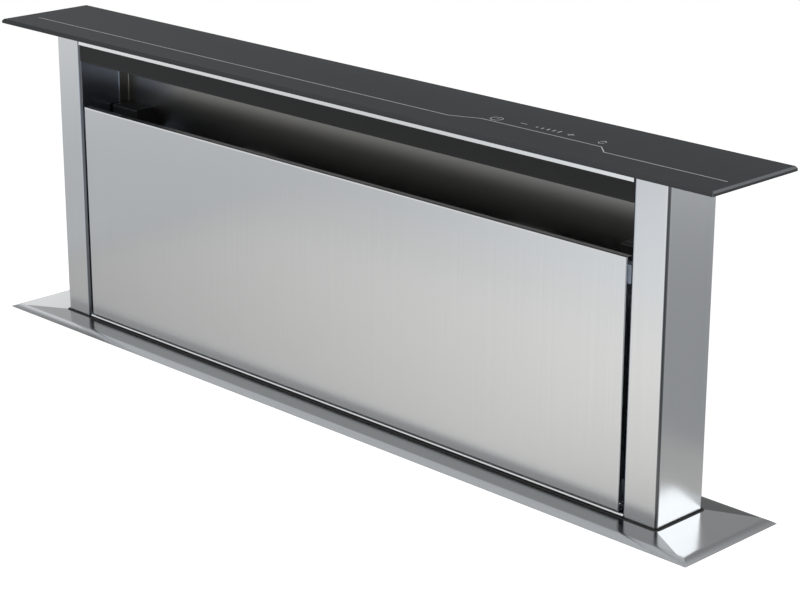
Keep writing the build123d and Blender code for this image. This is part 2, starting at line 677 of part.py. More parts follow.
def flange_gasket():
    """Foam ring between the flange and the worktop, outside the casing."""
    flat = FLANGE_BEVEL + GASKET_INSET
    return ring_plate(
        FLANGE_LENGTH - 2 * flat, FLANGE_DEPTH - 2 * flat,
        CASING_LENGTH + 2 * FIT, CASING_DEPTH + 2 * FIT, FLANGE_Y, 0, CASING_TOP,
    )


def tower_wiper():
    """Rubber skirt under the collar that wipes the tower."""
    play = 2 * WIPER_PLAY
    grow = 2 * (TOWER_CLEARANCE + FLANGE_SHEET)
    outer = RectangleRounded(TOWER_WIDTH + grow, TOWER_DEPTH + grow, COLUMN_BEND + grow / 2)
    inner = RectangleRounded(TOWER_WIDTH + play, TOWER_DEPTH + play, COLUMN_BEND + play / 2)
    ring = along_z(outer - inner, -FLANGE_COLLAR - WIPER_HEIGHT, -FLANGE_COLLAR)
    return Pos(0, TOWER_Y, 0) * ring


# ==================================================================== casing
def casing_front_sheet():
    """Front sheet with lips at top and bottom and the blower's inlet hole."""
    y = CASING_FRONT
    lip = y + CASING_LIP
    path = [(lip, CASING_TOP), (y, CASING_TOP), (y, CASING_BOTTOM), (lip, CASING_BOTTOM)]
    section = sheet_profile(path, CASING_SHEET, CASING_BEND)
    sheet = along_x(section, -CASING_LENGTH / 2, CASING_LENGTH / 2)
    start = (0, y + CASING_SHEET + OVERCUT, FAN_Z)
    return sheet - rod(INLET_R + INLET_SHEET + FIT, CASING_SHEET + 2 * OVERCUT, start, (0, -1, 0))


def casing_rear_sheet():
    """Rear sheet with lips at top and bottom."""
    y = CASING_BACK
    lip = y - CASING_LIP
    path = [(lip, CASING_BOTTOM), (y, CASING_BOTTOM), (y, CASING_TOP), (lip, CASING_TOP)]
    section = sheet_profile(path, CASING_SHEET, CASING_BEND)
    return along_x(section, -CASING_LENGTH / 2, CASING_LENGTH / 2)


def casing_side(side):
    """End channel whose lips lie inside the front and rear sheets."""
    t = CASING_SHEET
    x = CASING_LENGTH / 2
    y0 = CASING_FRONT + 2 * t
    y1 = CASING_BACK - 2 * t
    path = [(x - SIDE_LIP, y1), (x - t, y1), (x - t, y0), (x - SIDE_LIP, y0)]
    channel = along_z(sheet_profile(path, t, CASING_BEND), CASING_BOTTOM + t, CASING_TOP - t)
    return channel if side > 0 else mirrored(channel)


def casing_rivets():
    """Heads of the rivets that join the front and rear sheets to the ends."""
    span = CASING_TOP - CASING_BOTTOM - 2 * RIVET_END
    rivets = []
    for row in range(RIVET_ROWS):
        z = CASING_BOTTOM + RIVET_END + span * row / (RIVET_ROWS - 1)
        for x in (-RIVET_X, RIVET_X):
            rivets.append(rod(RIVET_R, RIVET_HEAD, (x, CASING_FRONT, z), (0, -1, 0)))
            rivets.append(rod(RIVET_R, RIVET_HEAD, (x, CASING_BACK, z), (0, 1, 0)))
    return rivets


def casing_floor_tray():
    """Drip tray that closes the casing's bottom."""
    t = CASING_SHEET
    half = CASING_LENGTH / 2 - t - FIT
    y0 = CASING_FRONT + 2 * t + FIT
    y1 = CASING_BACK - 2 * t - FIT
    z0 = CASING_BOTTOM + t
    z1 = z0 + TRAY_WALL
    tray = block(-half, half, y0, y1, z0, z1)
    tray = fillet(tray.edges().filter_by(Axis.Z), TRAY_CORNER)
    inner = block(-half + t, half - t, y0 + t, y1 - t, z0 + t, z1 + OVERCUT)
    return tray - fillet(inner.edges().filter_by(Axis.Z), TRAY_CORNER - t)


# =============================================================== lift guides
def guide_rails():
    """Upright channels on the casing's ends, open towards the columns."""
    x = CASING_LENGTH / 2 - CASING_SHEET - RAIL_SHEET
    y0 = TOWER_Y - RAIL_WIDTH / 2 + RAIL_SHEET
    y1 = TOWER_Y + RAIL_WIDTH / 2 - RAIL_SHEET
    path = [(RAIL_MOUTH_X, y1), (x, y1), (x, y0), (RAIL_MOUTH_X, y0)]
    rail = along_z(sheet_profile(path, RAIL_SHEET, RAIL_BEND), RAIL_BOTTOM, RAIL_TOP)
    return [rail, mirrored(rail)]


def guide_shoes():
    """Two plastic shoes a side, screwed to the columns and running in the rails."""
    x0 = TOWER_WIDTH / 2
    x1 = CASING_LENGTH / 2 - CASING_SHEET - RAIL_SHEET - SHOE_PLAY
    half = RAIL_WIDTH / 2 - RAIL_SHEET - SHOE_PLAY
    shoes = []
    wing = SHOE_WIDTH / 2
    for i in range(SHOE_ROWS):
        z1 = SHOE_TOP - i * SHOE_PITCH
        z0 = z1 - SHOE_LENGTH
        shoe = block(x0, x1, TOWER_Y - half, TOWER_Y + half, z0, z1)
        shoe = chamfer(shoe.faces().sort_by(Axis.X)[-1].edges(), SHOE_EDGE)
        shoe += block(x0, x0 + SHOE_FLANGE, TOWER_Y - wing, TOWER_Y + wing, z0, z1)
        shoes += [shoe, mirrored(shoe)]
    return shoes


def stop_buffers():
    """Rubber stops in the rails' upper ends; the shoes meet them when the tower is up."""
    x1 = CASING_LENGTH / 2 - CASING_SHEET - RAIL_SHEET - FIT
    half = RAIL_WIDTH / 2 - RAIL_SHEET - FIT
    z0 = SHOE_TOP + FIT
    x0 = RAIL_MOUTH_X + BUFFER_SET
    buffer = block(x0, x1, TOWER_Y - half, TOWER_Y + half, z0, z0 + BUFFER_HEIGHT)
    return [buffer, mirrored(buffer)]


# ================================================================ lift drive
def column_feet():
    """End plates welded under the columns, bored for the nuts."""
    outline = RectangleRounded(COLUMN_FACE, TOWER_DEPTH, COLUMN_BEND) - Circle(NUT_R + FIT)
    plate = Pos(COLUMN_X, TOWER_Y) * along_z(outline, COLUMN_BOTTOM - FOOT_PLATE, COLUMN_BOTTOM)
    return [plate, mirrored(plate)]


def lift_nuts():
    """Flanged bronze nuts that ride on the spindles."""
    seat = COLUMN_BOTTOM - FOOT_PLATE
    bore = Circle(SPINDLE_R + RUNNING)
    nut = along_z(Circle(NUT_FLANGE_R) - bore, seat - NUT_FLANGE, seat)
    nut += along_z(Circle(NUT_R) - bore, seat, seat + NUT_HEIGHT)
    nut = Pos(COLUMN_X, TOWER_Y) * nut
    return [nut, mirrored(nut)]


def spindle(side):
    """Lift spindle: plain screw, thrust collar and journal in the gear case."""
    x = side * COLUMN_X
    top = COLUMN_BOTTOM + SPINDLE_OVER
    screw = along_z(Circle(SPINDLE_R), GEAR_CASE_TOP - JOURNAL, top)
    screw = chamfer(screw.faces().sort_by(Axis.Z)[-1].edges(), SPINDLE_TIP)
    z0 = GEAR_CASE_TOP + FIT
    screw += along_z(Circle(SPINDLE_COLLAR_R), z0, z0 + SPINDLE_COLLAR)
    return Pos(x, TOWER_Y) * screw


def gear_cases():
    """Closed bevel-gear cases under the spindles."""
    case = along_z(
        RectangleRounded(GEAR_CASE, GEAR_CASE, GEAR_CORNER), GEAR_CASE_TOP - GEAR_CASE, GEAR_CASE_TOP
    )
    inner = -GEAR_CASE / 2
    case += rod(SHAFT_BOSS_R, SHAFT_BOSS + SINK, (inner + SINK, 0, SHAFT_Z), (-1, 0, 0))
    case -= rod(SPINDLE_R + RUNNING, JOURNAL + END_AIR, (0, 0, GEAR_CASE_TOP), (0, 0, -1))
    depth = SHAFT_BOSS + JOURNAL + END_AIR
    case -= rod(DRIVE_SHAFT_R + RUNNING, depth, (inner - SHAFT_BOSS, 0, SHAFT_Z), (1, 0, 0))
    case = Pos(COLUMN_X, TOWER_Y) * case
    return [case, mirrored(case)]


def gear_brackets():
    """Gusseted shelves that carry the gear cases on the casing's ends."""
    t = BRACKET_SHEET
    x1 = CASING_LENGTH / 2 - CASING_SHEET
    x0 = COLUMN_X - GEAR_CASE / 2 - BRACKET_END
    z1 = GEAR_CASE_TOP - GEAR_CASE
    y0 = TOWER_Y - GEAR_CASE / 2 - BRACKET_SIDE
    y1 = TOWER_Y + GEAR_CASE / 2 + BRACKET_SIDE
    bracket = block(x0, x1, y0, y1, z1 - t, z1)
    bracket += block(x1 - t, x1, y0, y1, z1 - BRACKET_DROP, z1 + BRACKET_RISE)
    nose, heel, top = x0 + BRACKET_NOSE, x1 - t / 2, z1 - t / 2
    rib = Polyline((nose, top), (heel, top), (heel, z1 - BRACKET_DROP), close=True)
    for y in (y0, y1 - t):
        bracket += along_y(make_face(rib), y, y + t)
    return [bracket, mirrored(bracket)]


def drive_shaft():
    """Through shaft from gear case to gear case, with a coupler on each side of the motor."""
    reach = COLUMN_X - GEAR_CASE / 2 + JOURNAL
    shaft = rod(DRIVE_SHAFT_R, 2 * reach, (-reach, TOWER_Y, SHAFT_Z), (1, 0, 0))
    coupler = LIFT_MOTOR_LENGTH / 2 + SHAFT_BOSS + COUPLER_AIR
    for side in (-1, 1):
        shaft += rod(COUPLER_R, COUPLER_LENGTH, (side * coupler, TOWER_Y, SHAFT_Z), (side, 0, 0))
    return shaft


def lift_motor():
    """Tubular gear motor that turns the through shaft."""
    half = LIFT_MOTOR_LENGTH / 2
    middle = Plane(origin=(0, TOWER_Y, SHAFT_Z), x_dir=(0, 1, 0), z_dir=(1, 0, 0))
    motor = extrude(middle * Circle(LIFT_MOTOR_R), half, both=True)
    motor = chamfer(motor.edges().filter_by(GeomType.CIRCLE), LIFT_MOTOR_EDGE)
    motor += extrude(middle * Circle(SHAFT_BOSS_R), half + SHAFT_BOSS, both=True)
    return motor - extrude(
        middle * Circle(DRIVE_SHAFT_R + RUNNING), half + SHAFT_BOSS + OVERCUT, both=True
    )


def motor_saddle():
    """Bracket on the rear sheet with two cradles under the lift motor."""
    t = BRACKET_SHEET
    y1 = CASING_BACK - CASING_SHEET
    half = SADDLE_WIDTH / 2
    z0 = SHAFT_Z - SADDLE_DROP
    saddle = block(-half, half, y1 - t, y1, z0, SHAFT_Z + SADDLE_DROP)
    for x in (-half, half - t):
        saddle += block(x, x + t, TOWER_Y - SADDLE_REACH, y1 - t / 2, z0, SHAFT_Z)
    start = (-half - OVERCUT, TOWER_Y, SHAFT_Z)
    return saddle - rod(LIFT_MOTOR_R + FIT, 2 * (half + OVERCUT), start, (1, 0, 0))


# ==================================================================== blower
def box_outline(grow=0.0):
    """Outline of the blower box in (x, z), grown outwards."""
    middle = Pos((BOX_RIGHT - BOX_LEFT) / 2, FAN_Z + (BOX_TOP - BOX_DROP) / 2)
    return middle * Rectangle(BOX_LEFT + BOX_RIGHT + 2 * grow, BOX_TOP + BOX_DROP + 2 * grow)


def cover_screw_places():
    """Cover screws in (x, z): three along the top lip and three along the bottom lip."""
    inset = BOX_LIP / 2 + BOX_SHEET
    x0, x1 = inset - BOX_LEFT, BOX_RIGHT - inset
    z0, z1 = FAN_Z - BOX_DROP + inset, FAN_Z + BOX_TOP - inset
    return [(x, z) for x in (x0, (x0 + x1) / 2, x1) for z in (z0, z1)]


def drilled(sheet, y):
    """Cut the cover screws' holes through a sheet whose front face is at y."""
    for x, z in cover_screw_places():
        sheet -= rod(SCREW_R, BOX_SHEET + 2 * OVERCUT, (x, y - OVERCUT, z), (0, 1, 0))
    return sheet


def blower_box():
    """Four-sided box on the casing's front, with a screwed lip at its back."""
    y0 = BOX_FRONT + BOX_SHEET
    inside = box_outline(-BOX_SHEET)
    box = along_y(box_outline() - inside, y0, CASING_FRONT)
    box += along_y(box_outline(BOX_LIP) - inside, CASING_FRONT - BOX_SHEET, CASING_FRONT)
    box += along_y(box_outline() - box_outline(-BOX_LIP), y0, y0 + BOX_SHEET)
    start = (BOX_RIGHT + OVERCUT, OUTLET_Y, OUTLET_Z)
    box -= rod(OUTLET_R - OUTLET_WALL, BOX_SHEET + 2 * OVERCUT, start, (-1, 0, 0))
    return drilled(box, y0)


def blower_cover():
    """Front cover of the box with a pressed field."""
    y0 = BOX_FRONT - COVER_PRESS
    cover = along_y(box_outline(), BOX_FRONT, BOX_FRONT + BOX_SHEET)
    press = along_y(box_outline(-COVER_BORDER), y0, BOX_FRONT + BOX_SHEET / 2)
    press = chamfer(press.faces().sort_by(Axis.Y)[0].edges(), COVER_PRESS - COVER_LAND)
    field = box_outline(-COVER_BORDER - COVER_PRESS)
    cover = cover + press - along_y(field, y0 + BOX_SHEET, BOX_FRONT + BOX_SHEET + OVERCUT)
    return drilled(cover, BOX_FRONT)


def cover_screws():
    """Hexagon-headed sheet screws through the cover and the box's lip."""
    screws = []
    for x, z in cover_screw_places():
        here = Plane(origin=(x, BOX_FRONT, z), x_dir=(1, 0, 0), z_dir=(0, -1, 0))
        screw = extrude(here * RegularPolygon(SCREW_HEAD_R, 6), SCREW_HEAD)
        screws.append(screw + rod(SCREW_R - SCREW_PLAY, SCREW_END, (x, BOX_FRONT, z), (0, 1, 0)))
    return screws


def turned(section):
    """Revolve a section drawn in (radius, distance in front of the casing) about the fan axis."""
    plane = Plane(origin=(0, CASING_FRONT, FAN_Z), x_dir=(1, 0, 0), z_dir=(0, 0, -1))
    return revolve(plane * section, Axis((0, 0, FAN_Z), (0, 1, 0)))


def band(r0, r1, y0, y1):
    """Rectangular section between two radii and two distances from the casing."""
    return Pos((r0 + r1) / 2, (y0 + y1) / 2) * Rectangle(r1 - r0, y1 - y0)


def inlet_ring():
    """Bell-mouthed ring that leads the air into the impeller."""
    t = INLET_SHEET
    throat = INLET_R + t
    path = [(INLET_R + INLET_FLANGE, t), (throat, t), (throat, INLET_DEPTH)]
    return turned(sheet_profile(path, t, INLET_BEND))


def impeller():
    """Forward-curved blades between a hub disc and a shroud ring."""
    inner = IMPELLER_R - BLADE_DEPTH + BLADE_RIM
    outer = IMPELLER_R - BLADE_RIM
    shroud = turned(band(inner, IMPELLER_R, IMPELLER_BACK, IMPELLER_BACK + HUB_SHEET))
    hub_section = band(ROTOR_R + ROTOR_PLAY, IMPELLER_R, IMPELLER_FRONT - HUB_SHEET, IMPELLER_FRONT)
    arc = SagittaArc((inner, 0), (outer, BLADE_LEAN), BLADE_CURVE)
    blade = make_face(offset(arc, amount=BLADE_THICK, side=Side.LEFT, closed=True))
    ring = Sketch() + PolarLocations(0, BLADES) * blade
    start = (0, CASING_FRONT - IMPELLER_BACK - SINK, FAN_Z)
    plane = Plane(origin=start, x_dir=(1, 0, 0), z_dir=(0, -1, 0))
    return shroud + turned(hub_section) + extrude(plane * ring, IMPELLER_WIDTH - 2 * SINK)


def motor_rotor():
    """Rotor cup that carries the impeller's hub disc on its rim."""
    floor = ROTOR_BACK + ROTOR_WALL
    seat = IMPELLER_FRONT - HUB_SHEET
    section = band(0, ROTOR_R, ROTOR_BACK, floor)
    section += band(ROTOR_R - ROTOR_WALL, ROTOR_R, ROTOR_BACK, IMPELLER_FRONT)
    section += band(ROTOR_R - SINK, ROTOR_R + ROTOR_RIM, seat - ROTOR_RIM_THICK, seat)
    section += band(0, MOTOR_SHAFT_R, ROTOR_BACK, IMPELLER_FRONT - MOTOR_SHAFT_AIR)
    return turned(section)


def motor_stator():
    """Stator and mounting flange, fixed to the scroll's front wall."""
    bore = MOTOR_SHAFT_R + RUNNING
    front = SCROLL_FRONT + MOTOR_PLATE
    section = band(bore, STATOR_R, ROTOR_BACK + ROTOR_WALL + STATOR_AIR, front)
    section += band(bore, STATOR_R + MOTOR_FLANGE, SCROLL_FRONT, front)
    section += band(0, bore + SINK, SCROLL_FRONT, front)
    return turned(section)


def scroll_outline(grow):
    """Spiral outline with a straight outlet mouth, in (x, z) about the fan axis."""
    points = []
    for i in range(SCROLL_STATIONS + 1):
        part = i / SCROLL_STATIONS
        angle = math.radians(SCROLL_TONGUE - (SCROLL_TONGUE + 270) * part)
        r = SCROLL_START_R + SCROLL_GROWTH * part + grow
        points.append((r * math.cos(angle), r * math.sin(angle)))
    top, tongue = points[-1], points[0]
    mouth = Polyline(top, (SCROLL_MOUTH_X, top[1]), (SCROLL_MOUTH_X, tongue[1]), tongue)
    return make_face(Wire([Spline(*points), *mouth.edges()]))


def scroll_housing():
    """Spiral housing with its inlet hole at the back and its mouth to the right."""
    y0 = CASING_FRONT - SCROLL_FRONT
    y1 = CASING_FRONT - SCROLL_BACK
    t = SCROLL_WALL
    place = Pos(0, 0, FAN_Z)
    body = place * along_y(scroll_outline(t), y0, y1)
    body -= place * along_y(scroll_outline(0), y0 + t, y1 - t)
    x0, x1 = SCROLL_MOUTH_X - t - OVERCUT, SCROLL_MOUTH_X + t + OVERCUT
    body -= block(x0, x1, y0 + t, y1 - t, FAN_Z + SCROLL_LOW + SINK, FAN_Z + SCROLL_HIGH)
    through = t + 2 * OVERCUT
    body -= rod(INLET_R + INLET_SHEET + INLET_GAP, through, (0, y1 + OVERCUT, FAN_Z), (0, -1, 0))
    return body - rod(STATOR_R + FIT, through, (0, y0 - OVERCUT, FAN_Z), (0, 1, 0))


def outlet_transition():
    """Funnel from the scroll's rectangular mouth to the round outlet."""
    t = SCROLL_WALL
    middle = CASING_FRONT - (SCROLL_BACK + SCROLL_FRONT) / 2
    width = SCROLL_WIDTH - 2 * t
    height = SCROLL_HIGH - SCROLL_LOW
    centre = FAN_Z + (SCROLL_HIGH + SCROLL_LOW) / 2
    radius = OUTLET_R - OUTLET_WALL - t

    def mouth(x, grow):
        plane = Plane(origin=(x, middle, centre), x_dir=(0, 1, 0), z_dir=(1, 0, 0))
        return plane * RectangleRounded(width + 2 * grow, height + 2 * grow, FUNNEL_CORNER + grow)

    def round_end(x, grow):
        plane = Plane(origin=(x, OUTLET_Y, OUTLET_Z), x_dir=(0, 1, 0), z_dir=(1, 0, 0))
        side = 2 * (radius + grow)
        return plane * RectangleRounded(side, side, radius + grow - SINK)

    x0, x1 = SCROLL_MOUTH_X + FIT, BOX_RIGHT - BOX_SHEET
    outer = loft([mouth(x0, t), round_end(x1, t)], ruled=True)
    return outer - loft([mouth(x0, 0), round_end(x1, 0)], ruled=True)


def outlet_collar():
    """Round duct collar with a square screw flange and holes for the flap pin."""
    side = 2 * OUTLET_R + COLLAR_MARGIN
    plane = Plane(origin=(BOX_RIGHT, OUTLET_Y, OUTLET_Z), x_dir=(0, 1, 0), z_dir=(1, 0, 0))
    bore = Circle(OUTLET_R - OUTLET_WALL)
    collar = extrude(plane * (RectangleRounded(side, side, COLLAR_CORNER) - bore), COLLAR_FLANGE)
    collar += extrude(plane * (Circle(OUTLET_R) - bore), OUTLET_LENGTH)
    reach = OUTLET_R + OVERCUT
    pin = (FLAP_X, OUTLET_Y, OUTLET_Z - reach)
    return collar - rod(FLAP_PIN_R + RUNNING, 2 * reach, pin, (0, 0, 1))


def flap_pin():
    """Upright hinge pin of the two flaps, held in the collar."""
    reach = OUTLET_R - RUNNING
    return rod(FLAP_PIN_R, 2 * reach, (FLAP_X, OUTLET_Y, OUTLET_Z - reach), (0, 0, 1))


def flap(side):
    """Half-disc non-return flap with two hinge knuckles on the upright pin."""
    t = FLAP_THICK / 2
    plane = Plane(origin=(FLAP_X, OUTLET_Y, OUTLET_Z), x_dir=(0, 1, 0), z_dir=(1, 0, 0))
    cut = Pos((FLAP_ROOT - FLAP_R) / 2, 0) * Rectangle(FLAP_R + FLAP_ROOT, 2 * (FLAP_R + OVERCUT))
    leaf = extrude(plane * (Circle(FLAP_R) - cut), t, both=True)
    for middle in (-KNUCKLE_PITCH / 2, KNUCKLE_PITCH / 2):
        z0 = OUTLET_Z + middle - KNUCKLE / 2 + KNUCKLE_SHIFT
        leaf += rod(KNUCKLE_R, KNUCKLE, (FLAP_X, OUTLET_Y, z0), (0, 0, 1))
        root = OUTLET_Y + FLAP_ROOT + SINK
        leaf += block(FLAP_X - t, FLAP_X + t, OUTLET_Y, root, z0, z0 + KNUCKLE)
    leaf -= rod(FLAP_PIN_R + RUNNING, 2 * FLAP_R, (FLAP_X, OUTLET_Y, OUTLET_Z - FLAP_R), (0, 0, 1))
    if side > 0:
        return leaf
    return Pos(0, 2 * OUTLET_Y, 2 * OUTLET_Z) * leaf.rotate(Axis.X, 180)


# =============================================================== electronics
def module_block(y0, y1):
    """Slab with the power module's rounded outline."""
    half = MODULE_WIDTH / 2
    slab = block(MODULE_X - half, MODULE_X + half, y0, y1, MODULE_BOTTOM, MODULE_TOP)
    return fillet(slab.edges().filter_by(Axis.Y), MODULE_CORNER)


def power_module_box():
    """Plastic box on the casing's front, open towards its lid."""
    t = MODULE_WALL
    y0, y1 = CASING_FRONT - MODULE_DEPTH, CASING_FRONT
    box = module_block(y0 + t, y1)
    half = MODULE_WIDTH / 2 - t
    box -= block(MODULE_X - half, MODULE_X + half, y0, y1 - t, MODULE_BOTTOM + t, MODULE_TOP - t)
    dx, dz = MODULE_WIDTH / 2 - POST_INSET, MODULE_HEIGHT / 2 - POST_INSET
    for x in (MODULE_X - dx, MODULE_X + dx):
        for z in (MODULE_Z - dz, MODULE_Z + dz):
            box += rod(POST_R, MODULE_POST + SINK, (x, y1 - t + SINK, z), (0, -1, 0))
    start = (MODULE_X, GLAND_Y, MODULE_BOTTOM + t + OVERCUT)
    return box - rod(GLAND_R, t + 2 * OVERCUT, start, (0, 0, -1))


def power_module_lid():
    """Lid with a row of cooling slots."""
    y0 = CASING_FRONT - MODULE_DEPTH
    lid = module_block(y0, y0 + MODULE_WALL)
    for i in range(LID_SLOTS):
        z = MODULE_TOP - SLOT_SET - SLOT_PITCH * i
        lid -= block(
            MODULE_X - SLOT_LENGTH / 2, MODULE_X + SLOT_LENGTH / 2,
            y0 - OVERCUT, y0 + MODULE_WALL + OVERCUT, z - SLOT_WIDTH / 2, z + SLOT_WIDTH / 2,
        )
    return lid


def power_board():
    """Circuit board with its transformer and capacitors."""
    y = CASING_FRONT - MODULE_WALL - MODULE_POST - BOARD_THICK
    w, h = MODULE_WIDTH / 2 - BOARD_INSET, MODULE_HEIGHT / 2 - BOARD_INSET
    board = block(MODULE_X - w, MODULE_X + w, y, y + BOARD_THICK, MODULE_Z - h, MODULE_Z + h)
    x0 = MODULE_X - TRANSFORMER_SHIFT - TRANSFORMER_WIDTH / 2
    z0 = MODULE_Z - TRANSFORMER_HEIGHT / 2
    board += block(
        x0, x0 + TRANSFORMER_WIDTH, y - TRANSFORMER_DEPTH, y, z0, z0 + TRANSFORMER_HEIGHT
    )
    for i in range(CAPACITORS):
        x = MODULE_X + CAPACITOR_SHIFT + CAPACITOR_PITCH * (i - (CAPACITORS - 1) / 2)
        board += rod(CAPACITOR_R, CAPACITOR_HEIGHT, (x, y, MODULE_Z + CAPACITOR_RISE), (0, -1, 0))
    return board


def cable_gland():
    """Screwed gland for the supply cable in the module's underside."""
    z0 = MODULE_BOTTOM
    end = z0 - GLAND_LENGTH
    gland = along_z(Circle(GLAND_R - SCREW_PLAY), z0, z0 + MODULE_WALL + GLAND_TAIL)
    gland += along_z(RegularPolygon(GLAND_R + GLAND_NUT_RIM, 6), z0 - GLAND_NUT, z0)
    tip = along_z(Circle(GLAND_R - OVERCUT), end, z0)
    gland += chamfer(tip.faces().sort_by(Axis.Z)[0].edges(), GLAND_TIP)
    gland -= along_z(Circle(GLAND_BORE_R), end - OVERCUT, z0 + MODULE_WALL + GLAND_TAIL + OVERCUT)
    return Pos(MODULE_X, GLAND_Y) * gland


# ============================================================ feet and clamps
def foot_rails():
    """Hat-section rails under the casing and the blower, drilled for floor screws."""
    t = FOOT_SHEET
    web = FOOT_WIDTH / 2
    edge = web + FOOT_LIP
    crown = CASING_BOTTOM - t
    path = [
        (-edge, FOOT_BOTTOM), (-web, FOOT_BOTTOM), (-web, crown),
        (web, crown), (web, FOOT_BOTTOM), (edge, FOOT_BOTTOM),
    ]
    section = Pos(FOOT_X, 0) * sheet_profile(path, t, FOOT_BEND)
    rail = along_y(section, BOX_FRONT, CASING_BACK)
    for y in (FOOT_HOLE_FRONT, FOOT_HOLE_FRONT + FOOT_HOLE_PITCH):
        start = (FOOT_HOLE_ROW, y, FOOT_BOTTOM - OVERCUT)
        rail -= rod(FOOT_HOLE_R, t + 2 * OVERCUT, start, (0, 0, 1))
    return [rail, mirrored(rail)]


def worktop_clamps():
    """Angle brackets on the casing's ends that hold the clamp screws."""
    t = CLAMP_SHEET
    x0 = CASING_LENGTH / 2
    z1 = -CLAMP_DROP
    path = [(CLAMP_X + CLAMP_END, z1), (x0, z1), (x0, z1 - CLAMP_LEG)]
    section = sheet_profile(path, t, CLAMP_BEND)
    bracket = along_y(section, FLANGE_Y - CLAMP_WIDTH / 2, FLANGE_Y + CLAMP_WIDTH / 2)
    start = (CLAMP_X, FLANGE_Y, z1 + OVERCUT)
    bracket -= rod(CLAMP_SCREW_R + CLAMP_SCREW_PLAY, t + 2 * OVERCUT, start, (0, 0, -1))
    return [bracket, mirrored(bracket)]


def clamp_screws():
    """Screws that press up under the worktop."""
    z0 = -CLAMP_DROP - CLAMP_SCREW_DROP
    z1 = -CLAMP_DROP + CLAMP_SCREW_RISE
    screw = along_z(Circle(CLAMP_SCREW_R), z0, z1)
    screw += along_z(Circle(CLAMP_SCREW_R + CLAMP_PAD_RIM), z1, z1 + CLAMP_PAD)
    screw += along_z(RegularPolygon(CLAMP_SCREW_R + CLAMP_PAD_RIM, 6), z0, z0 + CLAMP_HEAD)
    screw = Pos(CLAMP_X, FLANGE_Y) * screw
    return [screw, mirrored(screw)]


PIECES = {
    "glass_top": glass_top,
    "touch_board": touch_board,
    "control_housing": control_housing,
    "mouth_trim": mouth_trim,
    "air_scoop": air_scoop,
    "column_left": lambda: column(-1),
    "column_right": lambda: column(1),
    "rear_wall": rear_wall,
    "lower_front_sheet": lower_front_sheet,
    "front_top_rail": front_top_rail,
    "panel_magnets": panel_magnets,
    "front_panel": front_panel,
    "filter_frames": filter_frames,
    "filter_meshes": filter_meshes,
    "filter_ledge": filter_ledge,
    "filter_holders": filter_holders,
    "filter_top_rail": filter_top_rail,
    "column_feet": column_feet,
    "lift_nuts": lift_nuts,
    "guide_shoes": guide_shoes,
    "worktop_flange": worktop_flange,
    "flange_gasket": flange_gasket,
    "tower_wiper": tower_wiper,
    "casing_front_sheet": casing_front_sheet,
    "casing_rear_sheet": casing_rear_sheet,
    "casing_side_left": lambda: casing_side(-1),
    "casing_side_right": lambda: casing_side(1),
    "casing_rivets": casing_rivets,
    "casing_floor_tray": casing_floor_tray,
    "guide_rails": guide_rails,
    "stop_buffers": stop_buffers,
    "spindle_left": lambda: spindle(-1),
    "spindle_right": lambda: spindle(1),
    "gear_cases": gear_cases,
    "gear_brackets": gear_brackets,
    "drive_shaft": drive_shaft,
    "lift_motor": lift_motor,
    "motor_saddle": motor_saddle,
    "blower_box": blower_box,
    "blower_cover": blower_cover,
    "cover_screws": cover_screws,
    "inlet_ring": inlet_ring,
    "impeller": impeller,
    "motor_rotor": motor_rotor,
    "motor_stator": motor_stator,
    "scroll_housing": scroll_housing,
    "outlet_transition": outlet_transition,
    "outlet_collar": outlet_collar,
    "flap_pin": flap_pin,
    "flap_front": lambda: flap(-1),
    "flap_rear": lambda: flap(1),
    "power_module_box": power_module_box,
    "power_module_lid": power_module_lid,
    "power_board": power_board,
    "cable_gland": cable_gland,
    "foot_rails": foot_rails,
    "worktop_clamps": worktop_clamps,
    "clamp_screws": clamp_screws,
}

os.makedirs("parts", exist_ok=True)
for name, make in PIECES.items():
    save(name, make())
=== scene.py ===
import logging
import math
from dataclasses import dataclass
from enum import Enum

import bmesh
import bpy
import numpy as np
from mathutils import Matrix, Vector


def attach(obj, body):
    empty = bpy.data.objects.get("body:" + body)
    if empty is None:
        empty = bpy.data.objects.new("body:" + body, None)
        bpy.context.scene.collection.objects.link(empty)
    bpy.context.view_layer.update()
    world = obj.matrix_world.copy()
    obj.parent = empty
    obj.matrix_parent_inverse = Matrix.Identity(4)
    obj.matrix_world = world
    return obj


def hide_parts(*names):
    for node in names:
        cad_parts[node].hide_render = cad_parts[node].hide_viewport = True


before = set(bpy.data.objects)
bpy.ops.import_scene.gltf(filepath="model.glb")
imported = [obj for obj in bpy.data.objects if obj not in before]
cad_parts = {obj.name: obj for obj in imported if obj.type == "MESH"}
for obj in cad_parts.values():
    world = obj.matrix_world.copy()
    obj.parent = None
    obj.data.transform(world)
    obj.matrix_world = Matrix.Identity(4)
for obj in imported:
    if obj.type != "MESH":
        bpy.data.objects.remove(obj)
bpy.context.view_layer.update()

LOG = logging.getLogger("downdraft_vent")
MM = 0.001
Tree = bpy.types.NodeTree
Node = bpy.types.Node
Socket = bpy.types.NodeSocket
Sockets = dict[str | int, object]
Span = tuple[float, float]
Triple = tuple[float, float, float]
Skin = tuple[np.ndarray, list]      # vertices of (n, 3) and faces

UNIT: Span = (0.0, 1.0)
NOISE_SPAN: Span = (0.3, 0.7)       # most of the noise's values lie in it
SQUARE = np.array([[-1, -1], [1, -1], [1, 1], [-1, 1]], float)      # two by two, counter-clockwise


# -------------------------------------------------------- colours and nodes
def linear(colour: str) -> tuple[float, float, float, float]:
    """Turn an sRGB hex colour into linear light.

    Args:
        colour: Six hex digits after a hash.

    Returns:
        Red, green, blue and an alpha of one.
    """
    value = np.array([int(colour[i:i + 2], 16) for i in (1, 3, 5)]) / 255.0
    curve = np.where(value <= 0.04045, value / 12.92, ((value + 0.055) / 1.055) ** 2.4)
    return (*curve.tolist(), 1.0)


